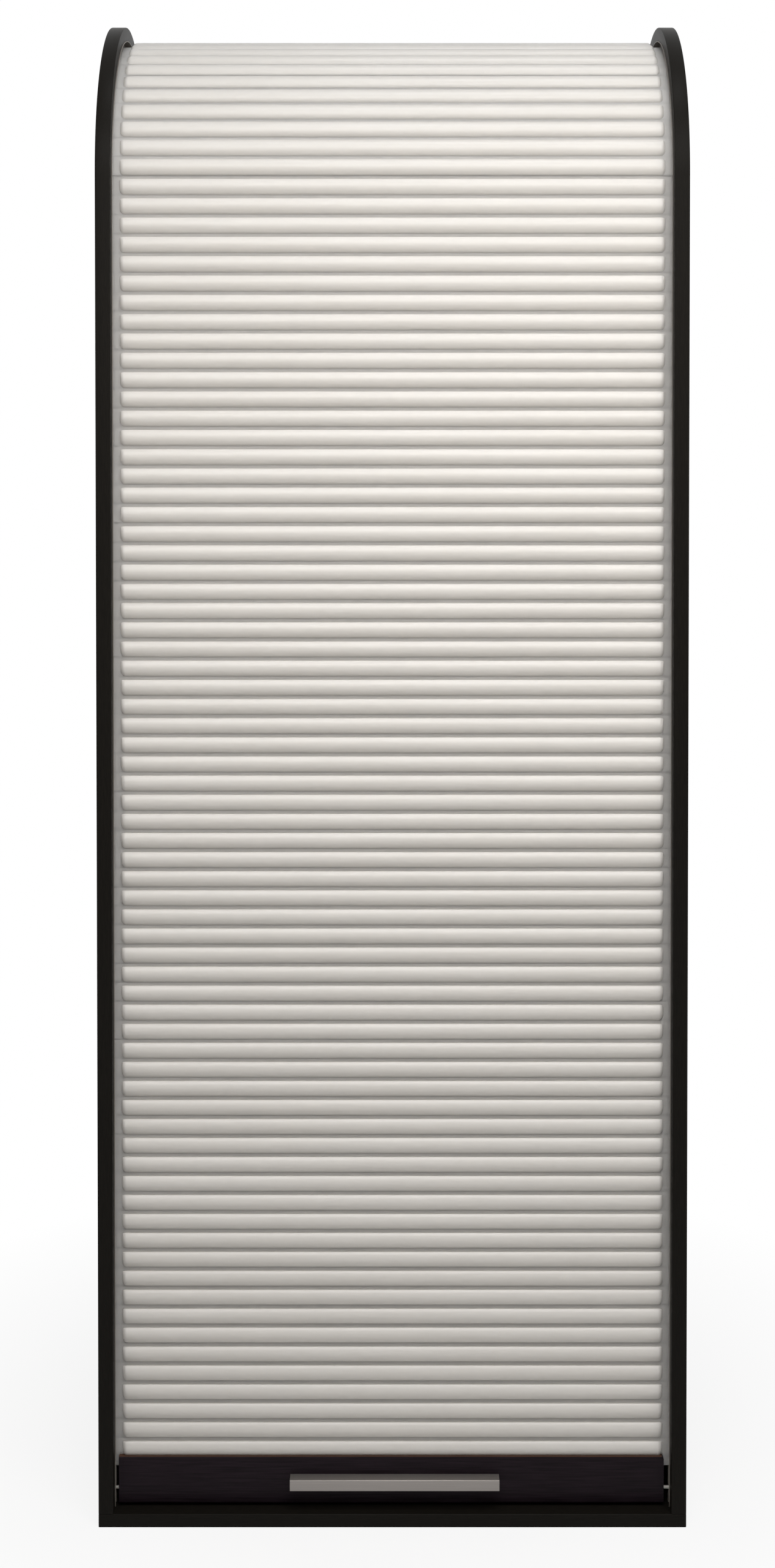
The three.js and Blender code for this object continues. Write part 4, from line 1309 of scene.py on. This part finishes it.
class CABINET_OT_stage(bpy.types.Operator):
    """Set up the floor, the lights, the white surround and the camera of the photograph"""
    bl_idname = "cabinet.stage"
    bl_label = "Stage"

    top_power: power_property("Top", "Power of the far high light", 102)
    key_power: power_property("Key", "Power of the light on the front", 31)
    fill_power: power_property("Fill", "Power of the low near fill", 8.5)
    ambient: bpy.props.FloatProperty(
        name="Ambient", description="Strength of the light from all round", default=0.03, min=0)

    def execute(self, context):
        self.camera(context.scene)
        self.floor()
        self.world(context.scene)
        for name, aim, distance, elevation, power, colour in SOFTBOXES:
            self.lamp(name, aim, distance, elevation, getattr(self, power), colour)
        context.scene.view_settings.view_transform = "Standard"
        return {"FINISHED"}

    def camera(self, scene):
        data = bpy.data.cameras.new("photo_camera")
        camera = bpy.data.objects.new("photo_camera", data)
        scene.collection.objects.link(camera)
        data.sensor_width = SENSOR_WIDTH_MM
        data.lens = SENSOR_WIDTH_MM * FOCAL_PIXELS / PHOTO_HEIGHT_PIXELS
        data.shift_y = (AXIS_ROW_PIXELS - PHOTO_HEIGHT_PIXELS / 2) / PHOTO_HEIGHT_PIXELS
        data.shift_x = -AXIS_SIDE_PIXELS / PHOTO_HEIGHT_PIXELS
        camera.location = (0, PANEL_LOW.y - CAMERA_DISTANCE, CAMERA_HEIGHT)
        camera.rotation_euler = (math.pi / 2 - CAMERA_TILT, 0, 0)
        scene.camera = camera

    def lamp(self, name, aim, distance, elevation, power, colour):
        """A wide softbox before the cabinet, aimed at a height."""
        rise = math.radians(elevation)
        way = Vector((LAMP_SIDE_SHARE, -math.cos(rise), math.sin(rise)))
        data = bpy.data.lights.new(name, "AREA")
        data.shape = "RECTANGLE"
        data.size = LAMP_WIDTH
        data.size_y = LAMP_HEIGHT
        data.energy = power
        data.color = colour
        lamp = bpy.data.objects.new(name, data)
        bpy.context.scene.collection.objects.link(lamp)
        lamp.visible_camera = False
        lamp.location = Vector((0, 0, aim)) + distance * way
        lamp.rotation_euler = (-way).to_track_quat("-Z", "Y").to_euler()

    def white_to_view(self, tree):
        """1 for the rays that see the background: from the camera, or off and through glossy things."""
        path = add_node(tree, "ShaderNodeLightPath")
        seen = add_node(
            tree, "ShaderNodeMath", {"operation": "MAXIMUM"},
            {0: path.outputs["Is Camera Ray"], 1: path.outputs["Is Glossy Ray"]})
        both = add_node(
            tree, "ShaderNodeMath", {"operation": "MAXIMUM"},
            {0: seen.outputs["Value"], 1: path.outputs["Is Transmission Ray"]})
        return both.outputs["Value"]

    def world(self, scene):
        world = bpy.data.worlds.new("studio_white")
        scene.world = world
        world.use_nodes = True
        tree = world.node_tree
        tree.nodes.clear()
        strength = add_node(
            tree, "ShaderNodeMapRange", {"To Min": self.ambient, "To Max": 1},
            {"Value": self.white_to_view(tree)})
        surround = add_node(
            tree, "ShaderNodeBackground", {"Color": (1, 1, 1, 1)}, {"Strength": strength.outputs["Result"]})
        add_node(tree, "ShaderNodeOutputWorld", None, {"Surface": surround.outputs["Background"]})

    def floor(self):
        """A pale floor that keeps the cabinet's shadow and turns to plain white away from it."""
        deselect_all()
        bpy.ops.mesh.primitive_circle_add(vertices=FLOOR_STEPS, radius=FLOOR_RADIUS, fill_type="NGON")
        floor = bpy.context.object
        floor.name = "studio_floor"
        material = bpy.data.materials.new("pale_studio_floor")
        material.use_nodes = True
        tree = material.node_tree
        tree.nodes.clear()
        matt = add_node(
            tree, "ShaderNodeBsdfDiffuse", {"Color": (FLOOR_GREY, FLOOR_GREY, FLOOR_GREY, 1)})
        white = add_node(tree, "ShaderNodeEmission", {"Strength": 1})
        where = add_node(tree, "ShaderNodeTexCoord")
        reach = add_node(
            tree, "ShaderNodeVectorMath", {"operation": "LENGTH"}, {0: where.outputs["Object"]})
        fade = add_node(
            tree, "ShaderNodeMapRange",
            {"From Min": FADE_START, "From Max": FADE_END, "To Min": WHITE_AT_CABINET, "To Max": 1},
            {"Value": reach.outputs["Value"]})
        share = add_node(
            tree, "ShaderNodeMath", {"operation": "MULTIPLY"},
            {0: fade.outputs["Result"], 1: self.white_to_view(tree)})
        mix = add_node(
            tree, "ShaderNodeMixShader", None,
            {0: share.outputs["Value"], 1: matt.outputs["BSDF"], 2: white.outputs["Emission"]})
        add_node(tree, "ShaderNodeOutputMaterial", None, {"Surface": mix.outputs["Shader"]})
        floor.data.materials.append(material)


# Add-on

OPERATORS = (
    CABINET_OT_stage,
    CABINET_OT_side_boards,
    CABINET_OT_channels,
    CABINET_OT_base_board,
    CABINET_OT_curtain,
    CABINET_OT_lead_bar,
    CABINET_OT_handle,
    CABINET_OT_guide_pins,
    CABINET_OT_shelves,
    CABINET_OT_backs,
    CABINET_OT_cams,
    CABINET_OT_shelf_pins,
    CABINET_OT_screws,
)


class CABINET_PT_pieces(bpy.types.Panel):
    """The pieces of the cabinet, in the order in which they are made"""
    bl_idname = "CABINET_PT_pieces"
    bl_label = "Tambour cabinet"
    bl_space_type = "VIEW_3D"
    bl_region_type = "UI"
    bl_category = "Tambour"

    def draw(self, context):
        for operator in OPERATORS:
            self.layout.operator(operator.bl_idname)
        for group in (context.scene.cabinet_sizes, context.scene.cabinet_colours):
            for name in group.__annotations__:
                self.layout.prop(group, name)


CLASSES = (CabinetSizes, CabinetColours, *OPERATORS, CABINET_PT_pieces)


def register():
    for cls in CLASSES:
        bpy.utils.register_class(cls)
    bpy.types.Scene.cabinet_sizes = bpy.props.PointerProperty(type=CabinetSizes)
    bpy.types.Scene.cabinet_colours = bpy.props.PointerProperty(type=CabinetColours)


def unregister():
    del bpy.types.Scene.cabinet_colours
    del bpy.types.Scene.cabinet_sizes
    for cls in reversed(CLASSES):
        bpy.utils.unregister_class(cls)


def main():
    register()
    for operator in OPERATORS:
        group, name = operator.bl_idname.split(".")
        getattr(getattr(bpy.ops, group), name)()


if __name__ == "__main__":
    main()
